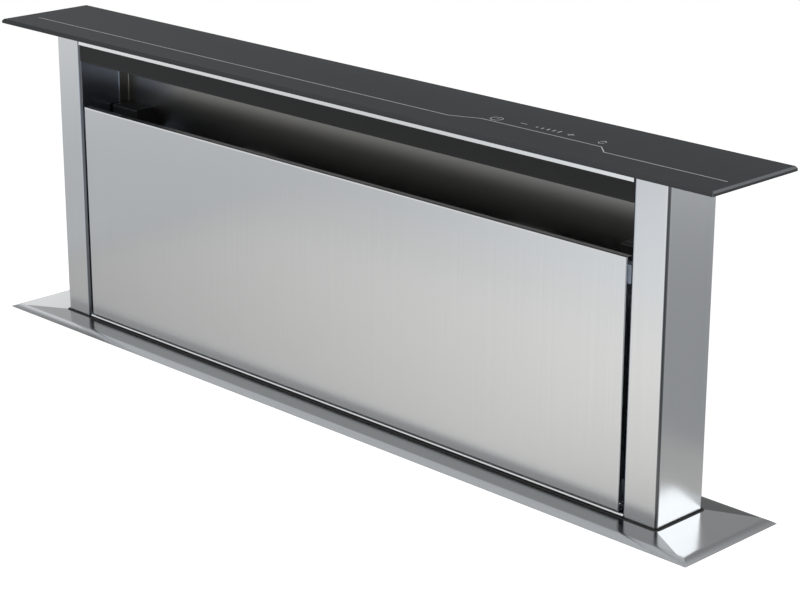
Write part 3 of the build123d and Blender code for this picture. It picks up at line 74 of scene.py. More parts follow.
def fill(tree: Tree, node: Node, sockets: Sockets) -> None:
    """Fill input sockets of a node.

    Args:
        tree: The node tree that holds the node.
        node: The node.
        sockets: Input name or number to a value, or to the output socket linked there.
    """
    for key, value in sockets.items():
        if isinstance(value, Socket):
            tree.links.new(value, node.inputs[key])
        else:
            node.inputs[key].default_value = value


def add(tree: Tree, kind: str, sockets: Sockets | None = None, **settings: object) -> Node:
    """Add one node, set its properties and fill its input sockets.

    Args:
        tree: The node tree that gets the node.
        kind: Blender's type name of the node.
        sockets: What fill() gets.
        settings: Properties of the node itself.

    Returns:
        The new node.
    """
    node = tree.nodes.new(kind)
    for name, value in settings.items():
        setattr(node, name, value)
    fill(tree, node, sockets or {})
    return node


def cleared(owner: bpy.types.Material | bpy.types.World) -> Tree:
    """Emptied node tree of a material or a world."""
    owner.use_nodes = True
    owner.node_tree.nodes.clear()
    return owner.node_tree


def blend(tree: Tree, share: Socket, first: Socket | str, second: Socket | str) -> Socket:
    """Mix two colours.

    Args:
        tree: The node tree.
        share: Share of the second colour.
        first: An sRGB hex colour or a socket.
        second: The same for the second one.

    Returns:
        The mixed colour.
    """
    one, other = (linear(colour) if isinstance(colour, str) else colour for colour in (first, second))
    return add(tree, "ShaderNodeMix", {0: share, 6: one, 7: other}, data_type="RGBA").outputs[2]


def ranged(tree: Tree, value: Socket, start: Span = UNIT, end: Span = UNIT, soft: bool = False) -> Socket:
    """Map a value from one range to another and clamp it there.

    Args:
        tree: The node tree.
        value: The value.
        start: Range that it comes from; it may run backwards.
        end: Range that it goes to.
        soft: Whether it leaves and arrives without a crease.

    Returns:
        The mapped value.
    """
    sockets = {"Value": value, "From Min": start[0], "From Max": start[1], "To Min": end[0], "To Max": end[1]}
    kind = "SMOOTHSTEP" if soft else "LINEAR"
    return add(tree, "ShaderNodeMapRange", sockets, interpolation_type=kind).outputs[0]


def reckon(tree: Tree, operation: str, *values: Socket | float) -> Socket:
    """Do one step of arithmetic, under Blender's name of it, on one or two values."""
    return add(tree, "ShaderNodeMath", dict(enumerate(values)), operation=operation).outputs[0]


def measure(tree: Tree, operation: str, *vectors: Socket | Triple) -> Socket:
    """Do one step of vector arithmetic that gives a number, such as a distance."""
    node = add(tree, "ShaderNodeVectorMath", dict(enumerate(vectors)), operation=operation)
    return node.outputs["Value"]


def bump(tree: Tree, height: Socket, share: float, depth: float) -> Socket:
    """Relief with a depth in millimetres, of which a share shows."""
    sockets = {"Height": height, "Strength": share, "Distance": depth * MM}
    return add(tree, "ShaderNodeBump", sockets).outputs[0]


def split(tree: Tree, vector: Socket) -> list[Socket]:
    """Take a vector apart into x, y and z."""
    return list(add(tree, "ShaderNodeSeparateXYZ", {0: vector}).outputs)


class Grain(Enum):
    """Direction in which a sheet was brushed or a shaft was drawn."""

    ALONG_X = 0
    ALONG_Y = 1
    ALONG_Z = 2

    def sizes(self, across: float, along: float) -> Triple:
        """Grain size along x, y and z, in millimetres."""
        sizes = [across, across, across]
        sizes[self.value] = along
        return tuple(sizes)


# ----------------------------------------------------------------- finishes
@dataclass(frozen=True)
class Finish:
    """What every finish has: its name, its colour in sRGB hex, its roughness and how far that swings."""

    name: str
    colour: str
    roughness: float
    swing: float = 0.0

    def build(self) -> bpy.types.Material:
        """Make the material, once for each finish.

        Returns:
            The Blender material of this finish.
        """
        made = bpy.data.materials.get(self.name)
        if made:
            return made
        material = bpy.data.materials.new(self.name)
        tree = cleared(material)
        shader = add(tree, "ShaderNodeBsdfPrincipled")
        add(tree, "ShaderNodeOutputMaterial", {"Surface": shader.outputs[0]})
        self.paint(tree, shader)
        return material

    def counted(self, tree: Tree, sizes: Triple) -> Socket:
        """Object coordinates that grow by one with each grain; its sizes are in millimetres."""
        place = add(tree, "ShaderNodeTexCoord").outputs["Object"]
        scale = tuple(1000.0 / size for size in sizes)
        return add(tree, "ShaderNodeMapping", {"Vector": place, "Scale": scale}).outputs[0]

    def pattern(self, tree: Tree, sizes: Triple, detail: float = 2.0) -> Socket:
        """Noise that stays on the piece.

        Args:
            tree: The material's node tree.
            sizes: Size of one grain along x, y and z, in millimetres.
            detail: Octaves of finer noise.

        Returns:
            A value between 0 and 1, mostly near one half.
        """
        sockets = {"Vector": self.counted(tree, sizes), "Scale": 1.0, "Detail": detail}
        return add(tree, "ShaderNodeTexNoise", sockets).outputs[0]

    def gloss(self, tree: Tree, noise: Socket, span: Span = UNIT) -> Socket:
        """Roughness that swings to both sides as the noise crosses the span."""
        return ranged(tree, noise, span, (self.roughness - self.swing, self.roughness + self.swing))

    def paint(self, tree: Tree, shader: Node) -> None:
        """Fill the shader's sockets; each finish has its own way."""
        raise NotImplementedError


@dataclass(frozen=True)
class BrushedSteel(Finish):
    """Cold-rolled 1.4301 stainless sheet, belt-ground: long fine streaks, soft stretched gloss."""

    swing: float = 0.008
    grain: Grain = Grain.ALONG_Z
    shade: str = "#d0d2d4"
    streak: float = 1.6             # real strokes are 0.1 mm wide; drawn wide enough to show
    stroke: float = 260.0           # their length in millimetres
    hair: float = 180.0             # length of the finer ones, which carry gloss and relief
    relief: float = 0.02            # share of their depth that shows
    depth: float = 0.02             # millimetres
    painted_inner_shade: str = ""                # colour painted on the faces toward the middle of the object: painted shade
    inward: float = -0.02           # place times normal, below which a face is on that side
    bend: str = ""                  # colour painted on the upright bends: a painted dark reflection
    bend_reflection_span: Span = (0.2, 0.4)    # normal's x times y: none on flat faces, 0.5 in the middle of a bend
    ends: float = 0.0               # metres from the middle beyond which pins are painted near black: painted shade of the gaps
    # colour of those pins: painted shade
    pin: str = "#2a2b2c"

    def paint(self, tree: Tree, shader: Node) -> None:
        """Streaks vary colour, gloss and relief along the grain; inward faces and pins get painted shade, the
        upright bends a painted dark reflection.
        """
        streaks = self.pattern(tree, self.grain.sizes(self.streak, self.stroke), 3.0)
        hair = self.pattern(tree, self.grain.sizes(self.streak / 2, self.hair), 1.0)
        colour = blend(tree, ranged(tree, streaks, NOISE_SPAN), self.shade, self.colour)
        place = add(tree, "ShaderNodeTexCoord").outputs
        # faces toward the middle of the object get a painted shade colour
        if self.painted_inner_shade:
            product = measure(tree, "DOT_PRODUCT", place["Object"], place["Normal"])
            colour = blend(tree, reckon(tree, "LESS_THAN", product, self.inward), colour, self.painted_inner_shade)
        # upright bends get a dark colour: painted reflection
        if self.bend:
            x, y, _ = split(tree, place["Normal"])
            turned = reckon(tree, "ABSOLUTE", reckon(tree, "MULTIPLY", x, y))
            colour = blend(tree, ranged(tree, turned, self.bend_reflection_span, soft=True), colour, self.bend)
        # pins at the ends are painted near black: painted shade of the gaps they stand in
        if self.ends:
            out = reckon(tree, "ABSOLUTE", split(tree, place["Object"])[0])
            colour = blend(tree, reckon(tree, "GREATER_THAN", out, self.ends), colour, self.pin)
        fill(tree, shader, {
            "Metallic": 1.0, "Base Color": colour, "Roughness": self.gloss(tree, hair, NOISE_SPAN),
            "Normal": bump(tree, hair, self.relief, self.depth),
        })


@dataclass(frozen=True)
class FrameSteel(Finish):
    """Stainless frame welded of four mitred strips, each ground along its own length; the end strips and the
    slope are painted lighter than the front and back strips, as painted highlight and painted shade.
    """

    swing: float = 0.015
    ends: str = "#d6d8d9"           # strips at the ends, painted lighter: painted highlight
    edge: str = "#c4c7ca"           # sloping rim, painted lighter than the front and back: painted highlight
    streak: float = 1.4
    stroke: float = 200.0
    light: Span = (0.975, 1.025)    # how the streaks dim and lighten the colour
    end_strip: Span = (0.3836, 0.4375)      # metres from the middle, in and out
    front_strip: Span = (-0.03, -0.061)     # y of the front strip, in and out
    back_strip: Span = (0.0319, 0.056)
    slope: Span = (0.999, 0.985)    # normal's z on the flat, and where the slope's painted highlight is full

    def paint(self, tree: Tree, shader: Node) -> None:
        """Pick the strip by the mitres, then its streaks; paint shade on the front and back strips and
        highlight on the end strips and on what slopes.
        """
        place = add(tree, "ShaderNodeTexCoord").outputs
        x, y, _ = split(tree, place["Object"])
        end = ranged(tree, reckon(tree, "ABSOLUTE", x), self.end_strip)
        front, back = (ranged(tree, y, strip) for strip in (self.front_strip, self.back_strip))
        at_end = reckon(tree, "GREATER_THAN", end, reckon(tree, "MAXIMUM", front, back))
        lengthwise, crosswise = (
            self.pattern(tree, grain.sizes(self.streak, self.stroke), 3.0)
            for grain in (Grain.ALONG_X, Grain.ALONG_Y)
        )
        streaks = add(tree, "ShaderNodeMix", {0: at_end, 2: lengthwise, 3: crosswise}).outputs[0]
        # painted shade on the front and back strips, painted highlight on the end strips and the slope
        tone = blend(tree, at_end, self.colour, self.ends)
        slope_highlight = ranged(tree, split(tree, place["Normal"])[2], self.slope)
        light = ranged(tree, streaks, NOISE_SPAN, self.light)
        ground = {0: blend(tree, slope_highlight, tone, self.edge), "Scale": light}
        fill(tree, shader, {
            "Metallic": 1.0, "Roughness": self.gloss(tree, streaks, NOISE_SPAN),
            "Base Color": add(tree, "ShaderNodeVectorMath", ground, operation="SCALE").outputs[0],
        })


@dataclass(frozen=True)
class ZincSheet(Finish):
    """Hot-dip galvanised sheet: frozen zinc flowers of a few millimetres, each its own grey."""

    swing: float = 0.04
    shade: str = "#a8acaf"
    flower: float = 5.0

    def paint(self, tree: Tree, shader: Node) -> None:
        """One tone and one gloss for each zinc crystal."""
        sockets = {"Vector": self.counted(tree, (self.flower,) * 3), "Scale": 1.0}
        cells = add(tree, "ShaderNodeTexVoronoi", sockets)
        pick = add(tree, "ShaderNodeSeparateColor", {0: cells.outputs["Color"]}).outputs
        fill(tree, shader, {
            "Metallic": 1.0, "Base Color": blend(tree, pick[0], self.shade, self.colour),
            "Roughness": self.gloss(tree, pick[1]),
        })


@dataclass(frozen=True)
class WorkedMetal(Finish):
    """Turned, cast or pressed metal: tool marks or casting skin of one grain size."""

    swing: float = 0.08
    shade: str = "#8c8c8c"
    marks: Triple = (1.0, 1.0, 1.0)
    relief: float = 0.5             # share of the marks' depth that shows
    depth: float = 0.03             # millimetres

    def paint(self, tree: Tree, shader: Node) -> None:
        """Marks vary colour, gloss and relief."""
        marks = self.pattern(tree, self.marks, 3.0)
        fill(tree, shader, {
            "Metallic": 1.0, "Base Color": blend(tree, marks, self.shade, self.colour),
            "Roughness": self.gloss(tree, marks),
            "Normal": bump(tree, marks, self.relief, self.depth),
        })


@dataclass(frozen=True)
class Moulded(Finish):
    """Moulded or coated surface: even colour, a fine skin, and clouds of slightly other gloss."""

    swing: float = 0.08
    shade: str = "#101010"
    cloud: float = 45.0             # millimetres
    skin: float = 0.8               # grain of the skin in millimetres
    relief: float = 0.4             # share of the skin's depth that shows
    depth: float = 0.02             # millimetres
    coat: float = 0.0
    sheen: float = 0.5              # specular level

    def paint(self, tree: Tree, shader: Node) -> None:
        """Skin for the relief, clouds for colour and gloss."""
        clouds = self.pattern(tree, (self.cloud,) * 3, 3.0)
        skin = self.pattern(tree, (self.skin,) * 3)
        fill(tree, shader, {
            "Coat Weight": self.coat, "Specular IOR Level": self.sheen,
            "Base Color": blend(tree, clouds, self.shade, self.colour),
            "Roughness": self.gloss(tree, clouds),
            "Normal": bump(tree, skin, self.relief, self.depth),
        })


@dataclass(frozen=True)
class EnamelledGlass(Finish):
    """Toughened float glass, enamelled dark grey from below, satin-etched on top, its ends ground, their
    bevels painted paler: frosting of the ground glass and a painted highlight.
    """

    swing: float = 0.03
    shade: str = "#2b2c2e"
    ground: str = "#76787b"         # end bevels: the ground glass's paler frosting and a painted highlight
    slack: float = 0.12             # how far the normal's x may lie from that of a 45 degree bevel
    clouds: Triple = (120.0, 60.0, 60.0)
    index: float = 1.5              # of refraction
    sheen: float = 0.015            # specular level of the etched skin

    def paint(self, tree: Tree, shader: Node) -> None:
        """Even grey under a soft skin whose gloss wanders a little, and paler bevels at the ends, partly a
        painted highlight.
        """
        clouds = self.pattern(tree, self.clouds)
        face = blend(tree, clouds, self.shade, self.colour)
        normal = add(tree, "ShaderNodeTexCoord").outputs["Normal"]
        # only the bevels at the ends get the paler colour: ground frosting and a painted highlight
        outward = reckon(tree, "ABSOLUTE", split(tree, normal)[0])
        lean = reckon(tree, "ABSOLUTE", reckon(tree, "SUBTRACT", outward, math.sqrt(0.5)))
        fill(tree, shader, {
            "IOR": self.index, "Specular IOR Level": self.sheen,
            "Base Color": blend(tree, reckon(tree, "LESS_THAN", lean, self.slack), face, self.ground),
            "Roughness": self.gloss(tree, clouds),
        })


GLASS = EnamelledGlass("enamelled_glass", "#4b4c4e", 0.55, shade="#464749")
INK = Moulded("ceramic_ink", "#c9cac9", 0.55, shade="#bcbdbc", skin=0.3, depth=0.005)
# the bend colour is a painted dark reflection on the upright bends
# uprights: faces toward the middle are painted a bluish shade, which is painted shade with a painted bluish
# reflection
STEEL_UPRIGHT = BrushedSteel(
    "stainless_brushed_upright", "#d3d5d6", 0.22, painted_inner_shade="#bcc8da", bend="#66686b"
)
# the panel's pins beyond 0.343 m are painted near black: painted shade
STEEL_PANEL = BrushedSteel("stainless_brushed_panel", "#d3d5d6", 0.22, ends=0.343)
# paler than the other stainless: a lit copy of the steel, painted highlight on the strip under the glass
STEEL_TRIM = BrushedSteel(
    "stainless_brushed_trim", "#eeefef", 0.2, grain=Grain.ALONG_X, shade="#e8e9e9"
)
STEEL_LENGTHWISE = BrushedSteel("stainless_brushed_lengthwise", "#d2d5d7", 0.2, grain=Grain.ALONG_X)
# rear wall: its inside is painted darker, as painted shade of the recess behind the mouth
STEEL_REAR = BrushedSteel(
    "stainless_brushed_rear", "#c4c7c9", 0.3, shade="#c1c4c6", relief=0.0, painted_inner_shade="#8f8e8c"
)
# its dark colour is painted shade on the front and back strips; the ends and the slope get painted highlight
STEEL_FRAME = FrameSteel("stainless_mitred_frame", "#8f9192", 0.2)
ZINC = ZincSheet("galvanised_sheet", "#b4b8bb", 0.4)
BLACK_ENAMEL = Moulded(
    "black_powder_coat", "#141517", 0.4, shade="#0f1011", skin=1.1, depth=0.03, sheen=0.25
)
TURNED_UPRIGHT = WorkedMetal(
    "turned_steel_upright", "#bdbdbb", 0.28, marks=(40.0, 40.0, 0.35), depth=0.02
)
TURNED_LENGTHWISE = WorkedMetal(
    "turned_steel_lengthwise", "#bdbdbb", 0.28, marks=(0.35, 40.0, 40.0), depth=0.02
)
ALUMINIUM = WorkedMetal("pressed_aluminium", "#dfe0e0", 0.34, shade="#c6c8c9", marks=(0.8, 0.8, 14.0))
CAST = WorkedMetal(
    "die_cast_aluminium", "#c4c5c6", 0.46, shade="#a5a6a8", marks=(1.4, 1.4, 1.4), depth=0.08
)
BRONZE = WorkedMetal("tin_bronze", "#b98f4c", 0.3, shade="#94703a", marks=(30.0, 30.0, 0.4), depth=0.02)
MOTOR_PAINT = Moulded("motor_enamel", "#5f6468", 0.42, shade="#54595d", skin=1.3, depth=0.03, coat=0.2)
BLACK_PLASTIC = Moulded("black_glass_filled_nylon", "#1d1e1f", 0.5, shade="#151516", skin=0.7)
GREY_PLASTIC = Moulded("grey_polypropylene", "#8d9092", 0.45, shade="#808385", skin=0.9)
ACETAL = Moulded("white_acetal", "#eeeeea", 0.4, shade="#e2e2dd", skin=0.6, depth=0.01)
RUBBER = Moulded("black_rubber", "#1b1b1b", 0.72, shade="#131313", skin=1.0, depth=0.05)
SOLDER_MASK = Moulded("green_solder_mask", "#1f5a3a", 0.35, shade="#17492e", skin=0.5, coat=0.3)

NODE_FINISHES: dict[Finish, tuple[str, ...]] = {
    GLASS: ("glass_top",),
    STEEL_UPRIGHT: ("column_left", "column_right", "lower_front_sheet"),
    STEEL_PANEL: ("front_panel",),
    STEEL_TRIM: ("mouth_trim",),
    STEEL_REAR: ("rear_wall",),
    STEEL_LENGTHWISE: ("front_top_rail", "cover_screws", "casing_rivets"),
    STEEL_FRAME: ("worktop_flange",),
    ZINC: (
        "casing_front_sheet", "casing_rear_sheet", "casing_side_left", "casing_side_right",
        "casing_floor_tray", "guide_rails", "gear_brackets", "motor_saddle", "blower_box",
        "blower_cover", "column_feet", "foot_rails", "worktop_clamps", "inlet_ring",
    ),
    BLACK_ENAMEL: ("control_housing", "air_scoop", "filter_ledge", "filter_top_rail"),
    TURNED_UPRIGHT: ("spindle_left", "spindle_right", "flap_pin", "clamp_screws"),
    TURNED_LENGTHWISE: ("drive_shaft",),
    ALUMINIUM: ("filter_frames", "filter_meshes"),
    CAST: ("gear_cases", "motor_stator"),
    BRONZE: ("lift_nuts",),
    MOTOR_PAINT: ("lift_motor", "motor_rotor"),
    BLACK_PLASTIC: (
        "panel_magnets", "filter_holders", "impeller", "power_module_box", "power_module_lid",
        "cable_gland",
    ),
    GREY_PLASTIC: ("scroll_housing", "outlet_transition", "outlet_collar", "flap_front", "flap_rear"),
    ACETAL: ("guide_shoes",),
    RUBBER: ("flange_gasket", "tower_wiper", "stop_buffers"),
    SOLDER_MASK: ("touch_board", "power_board"),
}


def dress_nodes() -> None:
    """Give every CAD node the finish of its real material."""
    for finish, names in NODE_FINISHES.items():
        material = finish.build()
        for name in names:
            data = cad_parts[name].data
            data.materials.clear()
            data.materials.append(material)
    undressed = set(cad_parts) - {n for names in NODE_FINISHES.values() for n in names}
    if undressed:
        raise ValueError(f"nodes without a finish: {sorted(undressed)}")


# ----------------------------------------------------------------- geometry
def outline(length: float, depth: float, radius: float, steps: int = 6) -> np.ndarray:
    """Rounded rectangle about the origin, counter-clockwise.

    Each corner is a quarter circle: centre plus radius times (cos a, sin a).

    Args:
        length: Size along the first coordinate.
        depth: Size along the second coordinate.
        radius: Corner radius.
        steps: Segments of a corner.

    Returns:
        Points as an array of (n, 2).
    """
    turn = np.linspace(0.0, math.pi / 2, steps + 1)
    start = np.repeat(np.arange(4) * math.pi / 2, steps + 1)
    angle = start + np.tile(turn, 4)
    signs = np.repeat(np.array([[1, 1], [-1, 1], [-1, -1], [1, -1]], float), steps + 1, axis=0)
    centre = signs * (np.array([length, depth]) / 2 - radius)
    return centre + radius * np.stack([np.cos(angle), np.sin(angle)], axis=1)


def raised(points: np.ndarray, height: float) -> np.ndarray:
    """Points of (n, 2) at a height, as (n, 3)."""
    return np.column_stack([points, np.full(len(points), height)])


def stroke(path: np.ndarray, width: float, low: float, high: float) -> Skin:
    """Flat stroke of ink: a rectangle carried along a path in the xy plane with mitred corners.

    A side point is the path's point plus or minus half the width along the corner's mitre,
    over the cosine of half the turn.

    Args:
        path: Points of (n, 2) in millimetres.
        width: Width of the stroke.
        low: Height of its underside.
        high: Height of its upper side.

    Returns:
        Vertices of (4n, 3) and faces.
    """
    step = np.diff(path, axis=0)
    step /= np.linalg.norm(step, axis=1)[:, None]
    after = np.vstack([step, step[-1:]])
    side = np.vstack([step[:1], step]) + after
    side /= np.linalg.norm(side, axis=1)[:, None]
    reach = width / 2 / (side * after).sum(1)[:, None]
    normal = np.stack([-side[:, 1], side[:, 0]], axis=1)
    left, right = path + normal * reach, path - normal * reach
    rows = [raised(xy, z) for xy, z in ((left, high), (left, low), (right, low), (right, high))]
    count = len(path)
    here = np.arange(count - 1)
    faces = []
    for row in range(4):
        a, b = here + row * count, here + (row + 1) % 4 * count
        faces += np.stack([a, a + 1, b + 1, b], axis=1).tolist()
    ends = np.arange(4) * count
    faces += [ends.tolist(), (ends[::-1] + count - 1).tolist()]
    return np.concatenate(rows), faces


def loft(rings: np.ndarray) -> Skin:
    """Closed skin through rings of equal count, with a flat cap at each end.

    Args:
        rings: Points of (m, n, 3) in millimetres, counter-clockwise seen from the last ring.

    Returns:
        Vertices of (m * n, 3) and faces.
    """
    rows, count = rings.shape[:2]
    here = np.arange(count)
    there = (here + 1) % count
    base = (np.arange(rows - 1) * count)[:, None]
    quads = np.stack([base + here, base + there, base + there + count, base + here + count], axis=2)
    faces = quads.reshape(-1, 4).tolist()
    faces += [here[::-1].tolist(), (here + (rows - 1) * count).tolist()]
    return rings.reshape(-1, 3), faces


def wrap(rings: np.ndarray) -> Skin:
    """Closed skin through rings of equal count that lead back to the first ring.

    Args:
        rings: Points of (m, n, 3).

    Returns:
        Vertices of (m * n, 3) and faces.
    """
    rows, count = rings.shape[:2]
    here = np.arange(count)[None]
    there = (here + 1) % count
    base = (np.arange(rows) * count)[:, None]
    above = (base + count) % (rows * count)
    quads = np.stack([base + here, base + there, above + there, above + here], axis=2)
    return rings.reshape(-1, 3), quads.reshape(-1, 4).tolist()


def folded(path: np.ndarray, sheet: float, bend: float, steps: int = 5) -> np.ndarray:
    """Section of a folded sheet: a path of square corners, rounded, and its parallel to the left.

    About a corner's centre the two sides are circles of radius bend, and bend less the sheet
    at a left turn or plus it at a right turn: centre plus radius times (-s n cos a + d sin a),
    with d the way in, n its left normal, s the turn's sign and a from 0 to a quarter turn.

    Args:
        path: Corners of (n, 2) in millimetres.
        sheet: Thickness.
        bend: Radius of the bends along the path.
        steps: Segments of a bend.

    Returns:
        Closed section as an array of (m, 2).
    """
    way = np.diff(path, axis=0)
    way /= np.linalg.norm(way, axis=1)[:, None]
    left = np.stack([-way[:, 1], way[:, 0]], axis=1)
    turn = (left[:-1] * way[1:]).sum(1)[:, None]
    centre = path[1:-1] + bend * (turn * left[:-1] - way[:-1])
    angle = np.linspace(0.0, math.pi / 2, steps + 1)[None, :, None]
    spoke = np.cos(angle) * (-turn * left[:-1])[:, None] + np.sin(angle) * way[:-1][:, None]
    near = centre[:, None] + bend * spoke
    far = centre[:, None] + (bend - sheet * turn)[:, None] * spoke
    side = np.vstack([path[:1], near.reshape(-1, 2), path[-1:]])
    other = np.vstack([path[:1] + sheet * left[:1], far.reshape(-1, 2), path[-1:] + sheet * left[-1:]])
    return np.vstack([side, other[::-1]])


@dataclass
class Piece:
    """One finished piece of the scene: where it rides, what it stands for and what it is made of."""

    name: str
    body: str
    finish: Finish
    slot: str
    stands_for: tuple[str, ...] = ()
    crease: float = 32.0            # degrees above which an edge stays sharp

    def place(self, parts: list[Skin]) -> None:
        """Build one object at the origin from closed skins and hang it on its body.

        Args:
            parts: Vertices in millimetres and faces of each closed skin.
        """
        vertices, faces, start = [], [], 0
        for points, polygons in parts:
            vertices.append(points)
            faces += [[index + start for index in polygon] for polygon in polygons]
            start += len(points)
        mesh = bpy.data.meshes.new(self.name)
        mesh.from_pydata((np.concatenate(vertices) * MM).tolist(), [], faces)
        shape = bmesh.new()
        shape.from_mesh(mesh)
        bmesh.ops.recalc_face_normals(shape, faces=shape.faces)
        shape.to_mesh(mesh)
        shape.free()
        mesh.shade_smooth()
        mesh.set_sharp_from_angle(angle=math.radians(self.crease))
        mesh.materials.append(self.finish.build())
        piece = bpy.data.objects.new(self.name, mesh)
        bpy.context.scene.collection.objects.link(piece)
        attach(piece, self.body)
        if self.stands_for:
            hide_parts(*self.stands_for)
        LOG.info("%s: %d faces on %s", self.name, len(mesh.polygons), self.body)


# ---------------------------------------------------------------- glass top
@dataclass
class GlassTop:
    """Glass plate with ground edges and the printed touch field."""

    length: float = 880.0
    depth: float = 105.0
    thickness: float = 4.0
    top: float = 296.4
    corner: float = 1.5
    least_corner: float = 0.3       # where the outline steps in
    bevel: float = 1.8
    arris: float = 0.12             # softened arris of the ground bevel
    ink: Span = (-0.02, 0.06)       # foot and top of the print, from the glass's upper side
    line_width: float = 0.9
    line_ends: Span = (-420.0, 430.0)
    line_front: float = -22.0       # y of the long line
    line_raised: float = -10.8      # y of the line under the symbols
    ramps: tuple[Span, Span] = ((144.0, 171.0), (299.0, 311.0))     # x where it rises and falls
    symbol_width: float = 0.8
    symbol_middle: float = 1.0      # y of the minus and the plus
    arm: float = 3.5                # half a minus or a plus
    power: Triple = (180.0, -2.2, 5.2)      # x, y and radius of the power sign's ring
    power_gap: Span = (120.0, 420.0)        # degrees between which the ring is drawn
    power_bar: Span = (-1.6, 4.2)
    minus: float = 207.1            # x
    bars: tuple[float, float, int] = (222.0, 5.8, 5)        # first x, pitch and number of level bars
    bar_width: float = 1.3
    bar_heights: Triple = (-1.2, 1.4, 0.7)  # foot, first top, and how much each is higher
    plus: float = 257.3
    chevrons: Span = (290.4, 0.5)   # x and y of the pair's middle
    chevron: Triple = (3.0, 1.1, 4.1)       # half width, nearer and farther y

    def plate(self) -> None:
        """Loft the plate through outlines that step in at its arrises and its bevel."""
        a, b, t = self.arris, self.bevel, self.thickness
        levels = [
            (a * 3, 0.0), (a, a), (0.0, a * 3), (0.0, t - b - a), (a / 2, t - b + a / 2),
            (b - a / 2, t - a / 2), (b + a, t),
        ]
        rings = []
        for inset, height in levels:
            corner = max(self.corner - inset, self.least_corner)
            ring = outline(self.length - 2 * inset, self.depth - 2 * inset, corner)
            rings.append(raised(ring, self.top - self.thickness + height))
        piece = Piece("glass_plate", "tower", GLASS, "dark_glass", ("glass_top",), crease=20.0)
        piece.place([loft(np.stack(rings))])

    def draw(self, path: list | np.ndarray, width: float | None = None) -> Skin:
        """One stroke of ink on the glass, as wide as a symbol's unless told otherwise."""
        low, high = (self.top + height for height in self.ink)
        return stroke(np.asarray(path, float), width or self.symbol_width, low, high)

    def ring(self) -> np.ndarray:
        """Open ring of the power sign: centre plus radius times (cos a, sin a)."""
        x, y, radius = self.power
        angle = np.radians(np.linspace(*self.power_gap, 29))
        return np.stack([x + radius * np.cos(angle), y + radius * np.sin(angle)], axis=1)

    def print_field(self) -> None:
        """Long line with its raised stretch, and the row of symbols over it."""
        front, high, middle, arm = self.line_front, self.line_raised, self.symbol_middle, self.arm
        (rise, risen), (fall, fallen) = self.ramps
        start, end = self.line_ends
        strokes = [
            self.draw([
                (start, front), (rise, front), (risen, high), (fall, high), (fallen, front), (end, front),
            ], self.line_width),
            self.draw(self.ring()),
            self.draw([(self.power[0], y) for y in self.power_bar]),
            self.draw([(self.minus - arm, middle), (self.minus + arm, middle)]),
        ]
        first, pitch, count = self.bars
        foot, top, growth = self.bar_heights
        for i in range(count):
            x = first + pitch * i
            strokes.append(self.draw([(x, foot), (x, top + growth * i)], self.bar_width))
        strokes.append(self.draw([(self.plus - arm, middle), (self.plus + arm, middle)]))
        strokes.append(self.draw([(self.plus, middle - arm), (self.plus, middle + arm)]))
        x, y = self.chevrons
        half, near, far = self.chevron
        for way in (1, -1):
            foot, tip = y + way * near, y + way * far
            strokes.append(self.draw([(x - half, foot), (x, tip), (x + half, foot)]))
        Piece("glass_print", "tower", INK, "dark_glass").place(strokes)

    def build(self) -> None:
        """Make the plate and its print."""
        self.plate()
        self.print_field()


# -------------------------------------------------------------- lower sheet
@dataclass
class LowerSheet:
    """Folded front sheet under the panel, whose step comes up close to the panel's foot."""

    half: float = 347.1
    upstand: Span = (-16.5, 30.0)   # y of the upstand and its top
    face: float = -27.5             # y of the sheet's face
    step: float = 5.5               # 1.1 under the panel's foot, which dips 0.7 as it tilts
    foot: float = -134.0
    lip: float = 10.0
    sheet: float = 1.0
    bend: float = 2.0               # so soft that it catches the light

    def build(self) -> None:
        """Run the folded section from column to column."""
        back, top = self.upstand
        path = np.array([
            (back, top), (back, self.step), (self.face, self.step), (self.face, self.foot),
            (self.face + self.lip, self.foot),
        ])
        section = folded(path, self.sheet, self.bend)
        rings = [np.column_stack([np.full(len(section), x), section]) for x in (-self.half, self.half)]
        Piece(
            "lower_sheet", "tower", STEEL_UPRIGHT, "brushed_steel", ("lower_front_sheet",), crease=30.0
        ).place([loft(np.stack(rings))])


